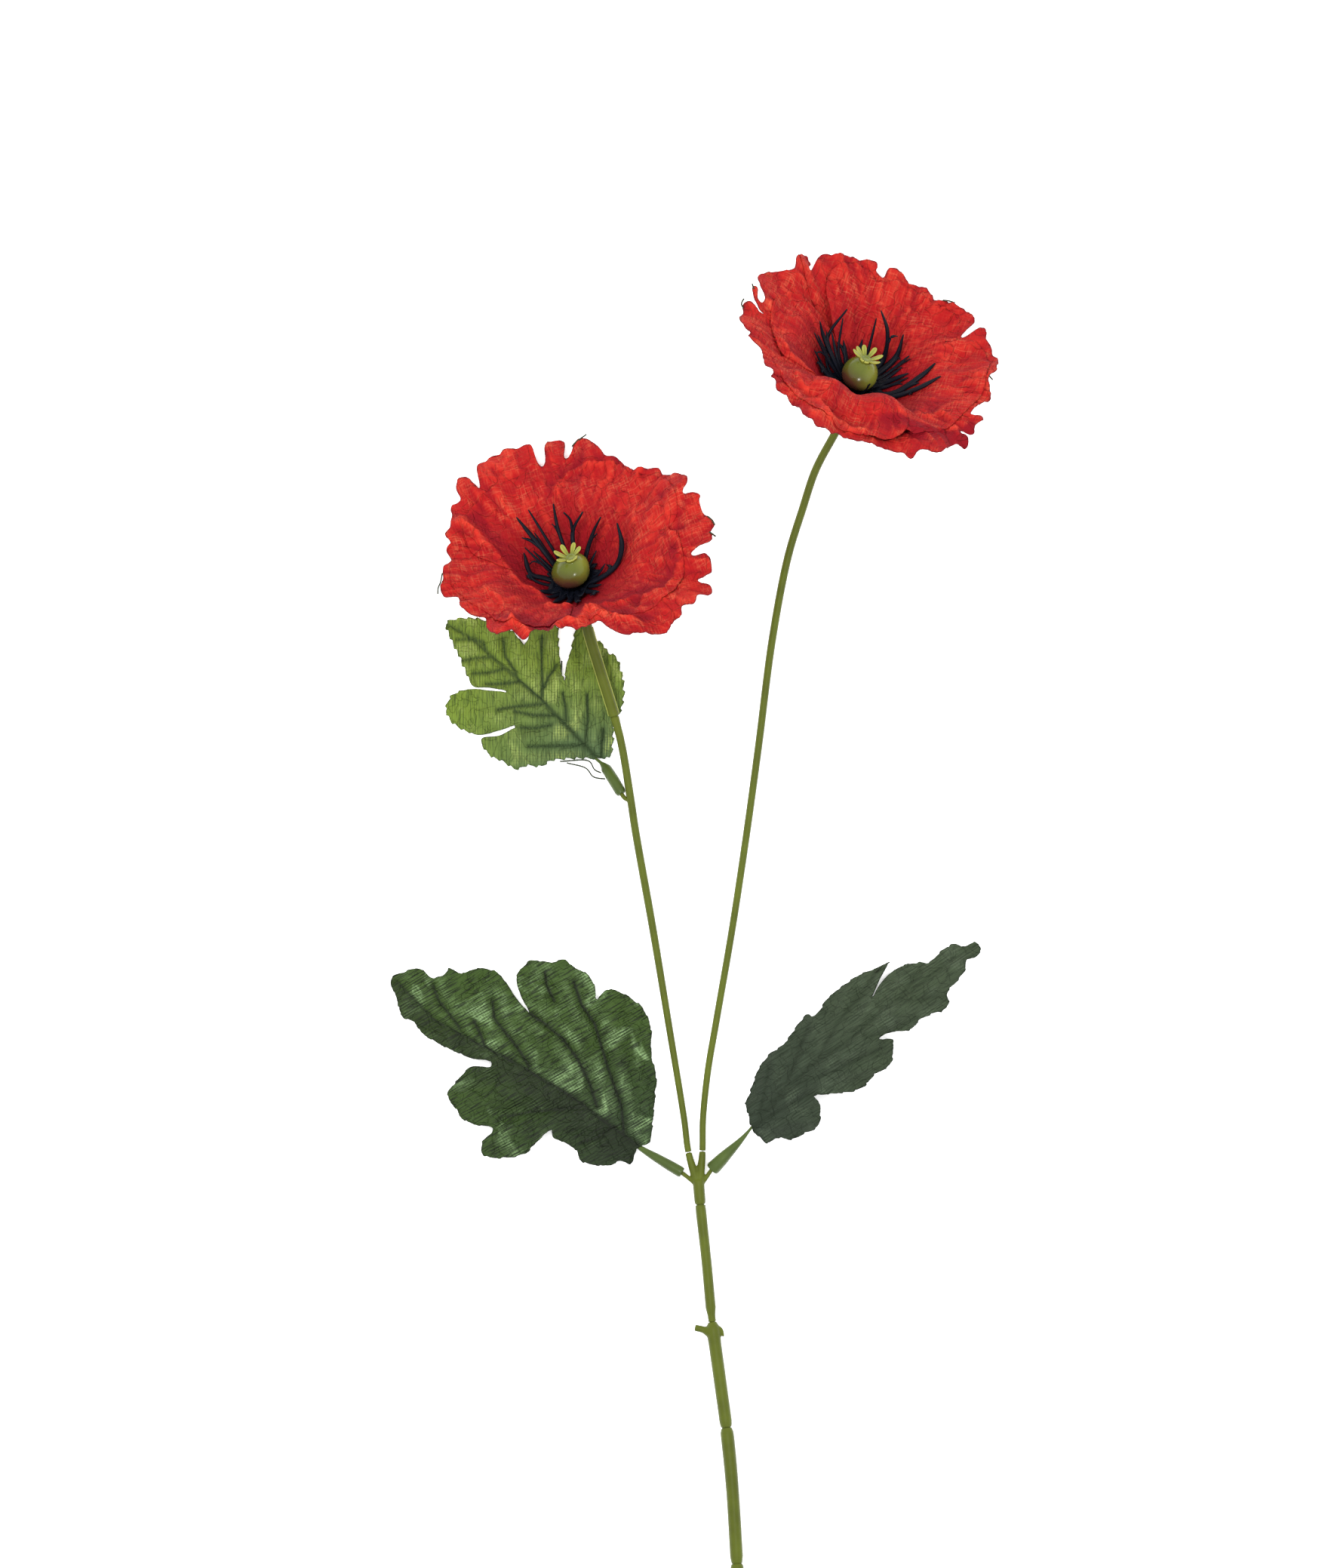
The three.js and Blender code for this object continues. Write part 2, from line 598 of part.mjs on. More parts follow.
/** One flower in its own frame, with its base at the group's origin and the axis along Z. */
function makeFlower(flower) {
  const lean = radians(flower.lean);
  const heading = radians(flower.heading);
  const right = new THREE.Vector3(Math.sin(heading), -Math.cos(heading), 0);
  const axis = new THREE.Vector3().setFromSphericalCoords(1, lean, 0);
  axis.set(axis.z * Math.cos(heading), axis.z * Math.sin(heading), axis.y);
  const top = new THREE.Vector3().crossVectors(axis, right);
  const group = new THREE.Group();
  group.setRotationFromMatrix(new THREE.Matrix4().makeBasis(right, top, axis));
  const outer = outerPetals(flower);
  addPiece(group, `outer_petals_${flower.side}`, outer, PETAL_CLOTH);
  addPiece(group, `inner_petals_${flower.side}`, innerPetals(flower), PETAL_CLOTH);
  addPiece(group, `stamens_${flower.side}`, stamens(flower), STRAND_PLASTIC);
  addPiece(group, `pod_${flower.side}`, pod(flower), POD_PLASTIC);
  addPiece(group, `calyx_${flower.side}`, calyx(), STEM_PLASTIC);
  const lowest = outer.clone().applyQuaternion(group.quaternion);
  lowest.computeBoundingBox();
  group.position.set(...flower.base, -lowest.boundingBox.min.z);
  spray.add(group);
  return { base: group.position, axis };
}

/** Curve of a flower's stem: its points, then up along the flower's axis into the calyx. */
function flowerStemCurve(points, { base, axis }) {
  const end = base.clone().addScaledVector(axis, -STEM_IN_CALYX);
  const before = end.clone().addScaledVector(axis, -6.5);
  return curveThrough([...points, before.toArray(), end.toArray()]);
}

/** Leaf blade: a waved sheet cut to the leaf's outline. */
function leafBlade({ rise, fall, pleat, cell, outline }) {
  const alongs = outline.map(([s]) => s);
  const acrosses = outline.map(([, t]) => t);
  const [from, to] = [Math.min(...alongs) - 1, Math.max(...alongs) + 1];
  const [low, high] = [Math.min(...acrosses) - 1, Math.max(...acrosses) + 1];
  const spread = (start, end) => {
    const steps = Math.round((end - start) / cell);
    return Array.from({ length: steps + 1 }, (_, k) => start + ((end - start) * k) / steps);
  };
  const height = (along, across) => leafHeight(along / to, along, across, { rise, fall, pleat });
  const grid = spread(from, to).map((along) =>
    spread(low, high).map((across) => new THREE.Vector3(along, across, height(along, across))),
  );
  const blade = sheet(grid, LEAF_THICKNESS);
  const shape = new THREE.Shape(outline.map((p) => new THREE.Vector2(...p)));
  const cutter = new THREE.ExtrudeGeometry(shape, { depth: 60, bevelEnabled: false });
  cutter.translate(0, 0, -20);
  return surface(solid(blade).intersect(solid(cutter)));
}

/** Height of a leaf's middle surface over a point of its plan. */
function leafHeight(share, along, across, { rise: [base, middle, tip], fall, pleat }) {
  const u = THREE.MathUtils.clamp(share, 0, 1);
  const midrib = base * (1 - u) * (1 - 2 * u) + 4 * middle * u * (1 - u) + tip * u * (2 * u - 1);
  const away = Math.abs(across);
  const wave = Math.cos((2 * Math.PI * (along - away * pleat.slope - pleat.phase)) / pleat.pitch);
  return midrib - fall * away + pleat.height * wave * THREE.MathUtils.smoothstep(away, 1, 9);
}

const placed = FLOWERS.map(makeFlower);

const stemCurve = curveThrough(STEM_POINTS);
const joints = SLEEVE_LENGTHS.reduce((ends, length) => [...ends, ends[ends.length - 1] + length], [0]);
const boreRadius = CORE_WIRE_RADIUS + FIT;
const forkStart = joints[4] + FIT / 2;

/** A main stem sleeve between two joints, with [distance in, radius] stations and a bore for the wire. */
function sleeve(number, stations) {
  const from = joints[number - 1] + (number > 1 ? FIT / 2 : 0);
  const to = joints[number] - FIT / 2;
  const outer = stations.map(([share, radius]) => [from + (to - from) * share, radius]);
  return bentTurning(stemCurve, outer, { bore: [[to, boreRadius], [from, boreRadius]] });
}

const sleeveShapes = [
  [[0, 2.3], [0.94, 2.3], [1, 1.95]],
  [[0, 1.85], [0.05, 2.2], [0.94, 2.3], [1, 1.9]],
  [[0, 1.8], [0.06, 2.15], [0.8, 2.2], [0.92, 2.35], [1, 1.6]],
  [[0, 1.3], [0.06, 1.35], [0.12, 1.75], [0.95, 1.8], [1, 1.75]],
];
sleeveShapes.forEach((stations, i) => {
  let shape = sleeve(i + 1, stations);
  if (i === 2) {
    const node = joints[3] - 2.4;
    const middle = stemCurve.getPointAt(node / stemCurve.getLength());
    const peg = curveThrough([
      [middle.x - 1.3, middle.y - 1.0, middle.z],
      [middle.x - 3.4, middle.y - 0.2, middle.z],
      [middle.x - 6.6, middle.y + 0.5, middle.z + 0.3],
    ]);
    const burr = curveThrough([
      [middle.x + 1.2, middle.y + 0.3, middle.z],
      [middle.x + 2.6, middle.y - 0.2, middle.z],
      [middle.x + 3.7, middle.y - 2.8, middle.z],
    ]);
    const pegBody = bentTurning(peg, [[0, 1.8], [2.2, 1.1], [5.2, 1.1]], { sides: 6 });
    const burrBody = bentTurning(burr, [[0, 1.0], [1.6, 0.7], [4.2, 0.25]], { sides: 6 });
    shape = surface(solid(shape).add(solid(pegBody)).add(solid(burrBody)));
  }
  addPiece(spray, `stem_sleeve_${i + 1}`, shape, STEM_PLASTIC);
});
const coreEnd = forkStart + CORE_WIRE_IN_FORK;
addPiece(
  spray,
  "core_wire",
  bentTurning(stemCurve, [[0, CORE_WIRE_RADIUS], [coreEnd, CORE_WIRE_RADIUS]], { sides: 6 }),
  WIRE_STEEL,
);

const leftCurve = flowerStemCurve(LEFT_STEM_POINTS, placed[0]);
const rightCurve = flowerStemCurve(RIGHT_STEM_POINTS, placed[1]);
const wireBore = FLOWER_WIRE_RADIUS + FIT;
const wireStart = FORK_STUB_LENGTH - FLOWER_WIRE_IN_FORK;
const stemStart = FORK_STUB_LENGTH + FIT;

/** The peg that a leaf stalk slips over, as a bent pin. */
function pegOn(points) {
  const curve = curveThrough(points);
  const outer = [[0, PEG_RADIUS], [curve.getLength(), PEG_RADIUS]];
  return solid(bentTurning(curve, outer, { sides: 6, step: 3 }));
}

// Leaf stalks: each path runs from the blunt end over its peg to the thin end under the leaf
const STALKS = {
  left: {
    path: [[5.7, -133.9, 3.4], [-1.6, -129.6, 2.7], [-9.0, -125.2, 1.2], [-13.6, -121.9, 1.0]],
    stations: [[0, 2.0], [0.8, 2.15], [5, 2.0], [11, 1.4], [16.5, 0.55], [21.5, 0.4]],
    peg: [[10.6, -138.0, 3.3], [8.3, -136.0, 3.35], [5.9, -134.1, 3.4], [3.7, -132.8, 3.2]],
  },
  right: {
    path: [[16.0, -132.7, 3.6], [21.0, -127.6, 5.2], [26.5, -122.0, 7.4], [31.4, -116.0, 8.9]],
    stations: [[0, 2.3], [0.8, 2.45], [5, 2.2], [10, 1.4], [15, 0.65], [22, 0.4]],
    peg: [[12.2, -138.2, 3.3], [13.9, -135.8, 3.3], [15.8, -133.0, 3.5], [17.4, -131.3, 4.2]],
  },
  upper: {
    path: [[-15.1, -3.4, 4.9], [-18.0, 1.5, 3.6], [-21.2, 6.2, 1.7], [-24.8, 9.4, 1.0]],
    stations: [[0, 1.35], [1, 1.6], [6, 1.65], [10, 1.3], [12.5, 0.55], [17, 0.4]],
    peg: [[-12.1, -5.8, 5.4], [-13.9, -5.0, 5.3], [-15.1, -3.5, 4.95], [-16.1, -1.8, 4.45]],
  },
};

let fork = solid(bentTurning(stemCurve, [
  [forkStart, 1.8],
  [forkStart + 1.2, 1.95],
  [forkStart + 8.6, 2.0],
]));
for (const curve of [leftCurve, rightCurve])
  fork = fork.add(solid(bentTurning(curve, [[0, 1.5], [3, 1.5], [FORK_STUB_LENGTH, 1.1]], FLOWER_STEM)));
fork = fork.add(pegOn(STALKS.left.peg)).add(pegOn(STALKS.right.peg));
fork = fork.subtract(solid(bentTurning(stemCurve, [[joints[3], boreRadius], [coreEnd + FIT, boreRadius]])));
for (const curve of [leftCurve, rightCurve]) {
  const bore = [wireStart - FIT, stemStart, stemStart + 4].map((at) => [at, wireBore]);
  fork = fork.subtract(solid(bentTurning(curve, bore, FLOWER_STEM)));
}
addPiece(spray, "stem_fork", surface(fork), STEM_PLASTIC);

/** A flower stem between two distances along its curve, bored for its wire. */
function flowerStem(curve, stations) {
  const [from, to] = [stations[0][0], stations[stations.length - 1][0]];
  return bentTurning(curve, stations, { ...FLOWER_STEM, bore: [[to, wireBore], [from, wireBore]] });
}

const [leftEnd, rightEnd] = [leftCurve.getLength(), rightCurve.getLength()];
const leftLower = solid(flowerStem(leftCurve, [
  [stemStart, 1.1], [40, 1.15], [100, 1.35], [COLLAR_AT - 4, 1.35], [COLLAR_AT - FIT, 1.5],
]));
const stub = pegOn(STALKS.upper.peg);
const stubBore = solid(bentTurning(leftCurve, [[100, wireBore], [COLLAR_AT - 4, wireBore]], FLOWER_STEM));
addPiece(spray, "flower_stem_left", surface(leftLower.add(stub.subtract(stubBore))), STEM_PLASTIC);
addPiece(
  spray,
  "flower_stem_left_top",
  flowerStem(leftCurve, [[COLLAR_AT, 1.7], [COLLAR_AT + 1.2, 1.55], [leftEnd, 1.5]]),
  STEM_PLASTIC,
);
addPiece(
  spray,
  "flower_stem_right",
  flowerStem(rightCurve, [[stemStart, 1.1], [60, 1.2], [180, 1.3], [rightEnd, 1.4]]),
  STEM_PLASTIC,
);
for (const [side, curve, end] of [["left", leftCurve, leftEnd], ["right", rightCurve, rightEnd]]) {
  const stations = [wireStart, stemStart, end].map((at) => [at, FLOWER_WIRE_RADIUS]);
  addPiece(spray, `flower_wire_${side}`, bentTurning(curve, stations, FLOWER_STEM), WIRE_STEEL);
}

for (const [name, { path, stations }] of Object.entries(STALKS)) {
  const curve = curveThrough(path);
  const socket = [[0, PEG_RADIUS + FIT], [SOCKET_DEPTH, PEG_RADIUS + FIT]];
  const body = solid(bentTurning(curve, stations, { step: 6 }));
  const cut = solid(bentTurning(curve, socket, { sides: 6 }));
  addPiece(spray, `leaf_stalk_${name}`, surface(body.subtract(cut)), STEM_PLASTIC);
}
for (const leaf of LEAVES) {
  const blade = addPiece(spray, `leaf_blade_${leaf.name}`, leafBlade(leaf), LEAF_CLOTH[leaf.name]);
  blade.position.set(...leaf.base, 0);
  blade.rotation.z = radians(leaf.heading);
}

export default spray;
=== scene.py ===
"""A poppy spray on a pale table: two red cloth flowers, three cloth leaves and a forked plastic stem.

Everything is shaped in millimetres, +Y along the spray towards its flowers, and scaled to metres when a
mesh is finished. A flower is shaped in its own frame, its base at the origin and its axis along Z. Angles
there are in degrees, anticlockwise from the flower's right as seen from the front, with 90 at its top.
"""
import logging
import math
from bisect import bisect_right
from collections.abc import Callable, Mapping, Sequence
from dataclasses import dataclass
from enum import Enum

import bmesh
import bpy
from mathutils import Matrix, Vector, noise


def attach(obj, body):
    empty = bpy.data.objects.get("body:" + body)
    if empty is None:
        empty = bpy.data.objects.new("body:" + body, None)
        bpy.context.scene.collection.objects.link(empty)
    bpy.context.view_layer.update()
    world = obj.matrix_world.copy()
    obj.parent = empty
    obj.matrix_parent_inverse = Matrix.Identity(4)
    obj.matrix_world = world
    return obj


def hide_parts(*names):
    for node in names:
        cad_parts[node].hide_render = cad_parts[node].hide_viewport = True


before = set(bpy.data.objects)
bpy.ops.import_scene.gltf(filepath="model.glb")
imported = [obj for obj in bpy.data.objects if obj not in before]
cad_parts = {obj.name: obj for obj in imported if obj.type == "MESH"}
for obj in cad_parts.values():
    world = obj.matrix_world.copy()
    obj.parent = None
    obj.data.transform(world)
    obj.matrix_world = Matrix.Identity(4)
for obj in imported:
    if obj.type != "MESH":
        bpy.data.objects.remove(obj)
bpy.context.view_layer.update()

log = logging.getLogger("poppy_spray")

MM = 0.001
BODY = "root"
PLAN_MIDDLE = Vector((10.1, -64.6, 0.0))
FIT = 0.3  # gap between two pieces that are slipped together
NECK = 0.35  # how much thinner than its sleeve the neck is that closes a joint

# Names of the attributes that the finishes read; crease, depth and crest also carry painted light and shade
CUT = "cut"
CREASE = "crease"
EDGE = "edge"
DEPTH = "depth"
CREST = "crest"

# Sockets of the Mix node for colours
MIX_FACTOR = 0
MIX_A = 6
MIX_B = 7
MIX_OUT = 2

WAVE_TURN = 20  # the Wave texture turns this many radians for each unit of its scale
CREASE_SHARE = 0.028  # how far a noise moves from its middle over half a crease

Mesh = bmesh.types.BMesh
Vert = bmesh.types.BMVert
Object = bpy.types.Object
Material = bpy.types.Material
Socket = bpy.types.NodeSocket
Pair = tuple[float, float]
Triple = tuple[float, float, float]
Line = Sequence[Pair]


class Slot(Enum):
    """The record's material slots."""

    STEM = "stem_plastic"
    WIRE = "core_wire_steel"
    PETAL = "petal_cloth"
    STAMEN = "stamen_plastic"
    POD = "pod_plastic"
    UPPER_LEAF = "upper_leaf_cloth"
    LEFT_LEAF = "left_leaf_cloth"
    RIGHT_LEAF = "right_leaf_cloth"


class Side(Enum):
    """The two flowers, as the camera sees them."""

    LEFT = "left"
    RIGHT = "right"


def clamp(value: float, low: float = 0.0, high: float = 1.0) -> float:
    """Returns the value, kept between low and high."""
    return max(low, min(high, value))


def smooth(value: float, low: float = 0.0, high: float = 1.0) -> float:
    """Returns a smooth rise from 0 at low to 1 at high."""
    share = clamp((value - low) / (high - low))
    return share * share * (3 - 2 * share)


def blend(a: float, b: float, share: float) -> float:
    """Returns the value that lies a share of the way from a to b."""
    return a + (b - a) * share


def ridge(value: float, sharpness: float) -> float:
    """Returns 1 on the zero line of a noise, falling away on both sides, as at a crease in cloth."""
    return max(0.0, 1.0 - sharpness * abs(value)) ** 2


def polar(radius: float, angle: float, height: float = 0.0) -> Vector:
    """Returns the point at a radius, an angle in degrees and a height."""
    turn = math.radians(angle)
    return Vector((radius * math.cos(turn), radius * math.sin(turn), height))


def from_plan(point: Sequence[float]) -> Vector:
    """Returns a point of the spray's plan in the part's frame."""
    return Vector(point) - PLAN_MIDDLE


class Route:
    """A smooth curve through points, measured along its length in millimetres."""

    STEPS = 16

    def __init__(self, points: Sequence[Vector]) -> None:
        """Measures the curve.

        Args:
            points: the points that it passes through, in order.
        """
        self.points = [Vector(p) for p in points]
        self.spans = len(self.points) - 1
        self.marks = [0.0]
        last = self._at(0.0)
        for k in range(1, self.spans * self.STEPS + 1):
            here = self._at(k / self.STEPS)
            self.marks.append(self.marks[-1] + (here - last).length)
            last = here
        self.length = self.marks[-1]

    def _at(self, place: float) -> Vector:
        """Evaluates the centripetal curve.

        Args:
            place: number of the span, with its fraction as the share of that span.

        Returns:
            The point there.
        """
        k = min(int(place), self.spans - 1)
        share = place - k
        b, c = self.points[k], self.points[k + 1]
        a = self.points[k - 1] if k > 0 else 2 * b - c
        d = self.points[k + 2] if k + 2 <= self.spans else 2 * c - b
        before, across, after = (max((q - p).length, 1e-6) ** 0.5 for p, q in ((a, b), (b, c), (c, d)))
        start = ((b - a) / before - (c - a) / (before + across) + (c - b) / across) * across
        end = ((c - b) / across - (d - b) / (across + after) + (d - c) / after) * across
        bend = 3 * (c - b) - 2 * start - end
        twist = 2 * (b - c) + start + end
        return b + start * share + bend * share**2 + twist * share**3

    def point(self, along: float) -> Vector:
        """Gives a point of the curve.

        Args:
            along: distance along the curve from its first point, in millimetres.

        Returns:
            The point there.
        """
        along = clamp(along, 0.0, self.length)
        k = min(bisect_right(self.marks, along), len(self.marks) - 1)
        share = (along - self.marks[k - 1]) / max(self.marks[k] - self.marks[k - 1], 1e-9)
        return self._at((k - 1 + share) / self.STEPS)

    def tangent(self, along: float) -> Vector:
        """Gives the direction of the curve.

        Args:
            along: distance along the curve from its first point, in millimetres.

        Returns:
            A direction of length one.
        """
        reach = min(0.2, self.length / 8)
        low = clamp(along - reach, 0.0, self.length - 2 * reach)
        return (self.point(low + 2 * reach) - self.point(low)).normalized()


@dataclass(frozen=True)
class Pose:
    """Where a flower is and which way it faces."""

    base: Triple
    heading: float
    lean: float

    @property
    def axis(self) -> Vector:
        """The direction that the flower faces."""
        lean = math.radians(self.lean)
        return polar(math.sin(lean), self.heading, math.cos(lean))

    def matrix(self) -> Matrix:
        """Gives the flower's place in the part.

        Returns:
            The matrix from the flower's frame to the part's, in millimetres.
        """
        right = polar(1.0, self.heading - 90)
        top = self.axis.cross(right)
        turn = Matrix((right, top, self.axis)).transposed().to_4x4()
        return Matrix.Translation(Vector(self.base)) @ turn


def fine_line(points: Sequence[Vector], step: float) -> list[Vector]:
    """Gives evenly spaced points along a smooth curve.

    Args:
        points: points that the curve goes through.
        step: about how far apart the new points lie, in millimetres.

    Returns:
        The points along the curve, with both of its ends.
    """
    route = Route(points)
    count = round(route.length / step)
    return [route.point(route.length * k / count) for k in range(count + 1)]


def line_place(place: Vector, line: Line) -> Vector:
    """Finds where a line comes nearest to a place on a flat cloth.

    Args:
        place: the place.
        line: the line, through [x, y] places.

    Returns:
        The nearest place on the line.
    """
    nearest = Vector((*line[0], 0.0))
    best = math.inf
    for (ax, ay), (bx, by) in zip(line, line[1:]):
        dx, dy = bx - ax, by - ay
        share = clamp(((place.x - ax) * dx + (place.y - ay) * dy) / (dx * dx + dy * dy))
        x, y = ax + share * dx, ay + share * dy
        away = (place.x - x) ** 2 + (place.y - y) ** 2
        if away < best:
            best = away
            nearest = Vector((x, y, 0.0))
    return nearest


def line_distance(place: Vector, line: Line) -> float:
    """Returns how far a place on a flat cloth lies from a line through [x, y] places."""
    return (line_place(place, line) - place).length


# Meshes

def cut_sheet(line: Sequence[Vector], cell: float) -> Mesh:
    """Fills a closed cut line with one flat sheet and divides it into small cells.

    Args:
        line: the cut, flat in X and Y.
        cell: size of the cells.

    Returns:
        The flat sheet.
    """
    bm = bmesh.new()
    bm.faces.new([bm.verts.new(p) for p in line])
    for normal in (Vector((1, 0, 0)), Vector((0, 1, 0))):
        low, high = (pick(p.dot(normal) for p in line) for pick in (min, max))
        cuts = round((high - low) / cell)
        for k in range(1, cuts):
            geometry = [*bm.verts, *bm.edges, *bm.faces]
            middle = normal * blend(low, high, k / cuts)
            bmesh.ops.bisect_plane(bm, geom=geometry, dist=1e-5, plane_co=middle, plane_no=normal)
    bmesh.ops.recalc_face_normals(bm, faces=bm.faces)
    return bm


def add_patch(bm: Mesh, rows: int, columns: int, shape: Callable[[Vert, float, float], None]) -> list[Vert]:
    """Adds a grid and lets a function place each of its vertices.

    Args:
        bm: mesh that the grid goes into.
        rows: cells along.
        columns: cells across.
        shape: places one vertex from its shares across and along, both 0 to 1.

    Returns:
        The grid's vertices.
    """
    made = bmesh.ops.create_grid(bm, x_segments=columns, y_segments=rows, size=0.5)["verts"]
    for vert in made:
        across = round((vert.co.x + 0.5) * columns) / columns
        along = round((vert.co.y + 0.5) * rows) / rows
        shape(vert, across, along)
    return made


def close_up(bm: Mesh, verts: list[Vert]) -> None:
    """Merges the seams and poles of a closed shell's vertices and turns its faces outwards."""
    bmesh.ops.remove_doubles(bm, verts=verts, dist=1e-4)
    bmesh.ops.recalc_face_normals(bm, faces=bm.faces)


def add_rod(
    bm: Mesh,
    route: Route,
    stations: Sequence[Pair],
    sides: int,
    *,
    step: float = 2.0,
    flat: float = 1.0,
    hint: Vector = Vector((0, 0, 1)),
) -> None:
    """Adds a round rod or tube that follows a route.

    Args:
        bm: mesh that it goes into.
        route: the rod's middle.
        stations: distance along the route and radius, from end to end. A radius of 0 closes an end, and a
            tube's stations come back along its bore to where they began.
        sides: faces round it.
        step: longest face along it.
        flat: its thickness towards the hint as a share of its width.
        hint: direction that its flat side turns to.
    """
    rows = [stations[0]]
    for (start, first), (end, last) in zip(stations, stations[1:]):
        cuts = max(1, math.ceil(abs(end - start) / step))
        rows += [(blend(start, end, k / cuts), blend(first, last, k / cuts)) for k in range(1, cuts + 1)]

    def shape(vert: Vert, across: float, along: float) -> None:
        """Puts one vertex round the rod.

        Args:
            vert: the vertex.
            across: its share of the way round the rod.
            along: its share of the rows.
        """
        at, radius = rows[round(along * (len(rows) - 1))]
        tangent = route.tangent(at)
        right = tangent.cross(hint).normalized()
        up = right.cross(tangent)
        turn = 2 * math.pi * across
        vert.co = route.point(at) + radius * (math.cos(turn) * right + flat * math.sin(turn) * up)

    close_up(bm, add_patch(bm, len(rows) - 1, sides, shape))


def rounded(stations: Sequence[Pair], edge: float = 0.25) -> list[Pair]:
    """Closes a rod's stations with flat ends that have rounded edges.

    Args:
        stations: distance and radius from the first end to the last, both open.
        edge: radius of the rounding.

    Returns:
        The stations with both ends closed.
    """
    (first, radius), (last, end_radius) = stations[0], stations[-1]
    turns = [math.radians(a) for a in (0, 30, 60, 90)]
    start = [(first + edge * (1 - math.sin(a)), radius - edge * (1 - math.cos(a))) for a in reversed(turns)]
    end = [(last - edge * (1 - math.sin(a)), end_radius - edge * (1 - math.cos(a))) for a in turns]
    inner = [s for s in stations[1:-1] if first + edge < s[0] < last - edge]
    return [(first, 0.0), *start, *inner, *end, (last, 0.0)]


def bored(stations: Sequence[Pair], bore: float, edge: float = 0.2) -> list[Pair]:
    """Gives a tube's stations a bore and rounded rims.

    Args:
        stations: distance and outer radius from the first end to the last.
        bore: radius of the hole that runs through it.
        edge: radius of the rounding of its rims.

    Returns:
        The stations round the wall, back to where they began.
    """
    skin = rounded(stations, edge)[1:-1]
    return [(stations[0][0], bore), *skin, (stations[-1][0], bore), (stations[0][0], bore)]


def lay_down(bm: Mesh, low: float) -> None:
    """Keeps a cloth's middle surface from sinking below a height."""
    for vert in bm.verts:
        vert.co.z = max(vert.co.z, low)


def make_object(name: str, bm: Mesh) -> Object:
    """Turns a mesh into a linked object and frees it.

    Args:
        name: the object's name.
        bm: the mesh.

    Returns:
        The object, at the origin.
    """
    mesh = bpy.data.meshes.new(name)
    bm.to_mesh(mesh)
    bm.free()
    made = bpy.data.objects.new(name, mesh)
    bpy.context.scene.collection.objects.link(made)
    return made


def fused(bm: Mesh, voxel: float, rounds: int) -> Mesh:
    """Melts overlapping rods into one moulded body with soft inner corners.

    Args:
        bm: the overlapping closed shells.
        voxel: size of the new faces.
        rounds: how often the surface is smoothed.

    Returns:
        The moulded body.
    """
    carrier = make_object("moulding", bm)
    melt = carrier.modifiers.new("melt", "REMESH")
    melt.mode = "VOXEL"
    melt.voxel_size = voxel
    soften = carrier.modifiers.new("soften", "SMOOTH")
    soften.iterations = rounds
    result = bmesh.new()
    result.from_mesh(carrier.evaluated_get(bpy.context.evaluated_depsgraph_get()).data)
    mesh = carrier.data
    bpy.data.objects.remove(carrier)
    bpy.data.meshes.remove(mesh)
    return result


def make_piece(name: str, bm: Mesh, material: Material, nodes: Sequence[str] = ()) -> Object:
    """Finishes a piece of the spray: scales it to metres and fixes it to the frame.

    Args:
        name: the piece's name.
        bm: its mesh in millimetres, in the part's frame.
        material: its finish.
        nodes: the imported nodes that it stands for, or none.

    Returns:
        The piece.
    """
    bmesh.ops.scale(bm, vec=Vector((MM, MM, MM)), verts=bm.verts)
    for face in bm.faces:
        face.smooth = True
    piece = make_object(name, bm)
    piece.data.materials.append(material)
    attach(piece, BODY)
    if nodes:
        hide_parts(*nodes)
    return piece


def add_cloth(piece: Object, thickness: float) -> Object:
    """Gives a cloth piece its thickness.

    Args:
        piece: the middle surface of the cloth.
        thickness: how thick it is, in millimetres.

    Returns:
        The piece.
    """
    wall = piece.modifiers.new("cloth", "SOLIDIFY")
    wall.thickness = thickness * MM
    wall.offset = 0.0
    return piece


# Finishes

def linear(code: str) -> tuple[float, float, float, float]:
    """Turns an sRGB colour into the linear one that the shader takes.

    Args:
        code: the colour as #rrggbb.

    Returns:
        Linear red, green, blue and an alpha of 1.
    """
    parts = [int(code[k : k + 2], 16) / 255 for k in (1, 3, 5)]
    red, green, blue = (c / 12.92 if c <= 0.04045 else ((c + 0.055) / 1.055) ** 2.4 for c in parts)
    return red, green, blue, 1.0


def add_node(
    material: Material,
    kind: str,
    inputs: Mapping[str | int, object] | None = None,
    out: str | int = 0,
    **settings: object,
) -> Socket:
    """Adds a node to a material.

    Args:
        material: the material.
        kind: the node's type, without the ShaderNode that all of them start with.
        inputs: a value, or an output to link, for each input by its name or number.
        out: name or number of the output that is used.
        settings: the node's own properties.

    Returns:
        That output.
    """
    tree = material.node_tree
    node = tree.nodes.new("ShaderNode" + kind)
    for key, value in settings.items():
        setattr(node, key, value)
    for key, value in (inputs or {}).items():
        if isinstance(value, Socket):
            tree.links.new(value, node.inputs[key])
        else:
            node.inputs[key].default_value = value
    return node.outputs[out]


def lay_colours(material: Material, base: str, layers: Sequence[tuple[Socket, str]]) -> Socket:
    """Lays tones over a colour, one over the other.

    Args:
        material: the material.
        base: the colour below them, as #rrggbb.
        layers: how much of each tone shows, and the tone.

    Returns:
        The colour that is seen.
    """
    colour = linear(base)
    for share, tone in layers:
        inputs = {MIX_FACTOR: share, MIX_A: colour, MIX_B: linear(tone)}
        colour = add_node(material, "Mix", inputs, MIX_OUT, data_type="RGBA")
    return colour


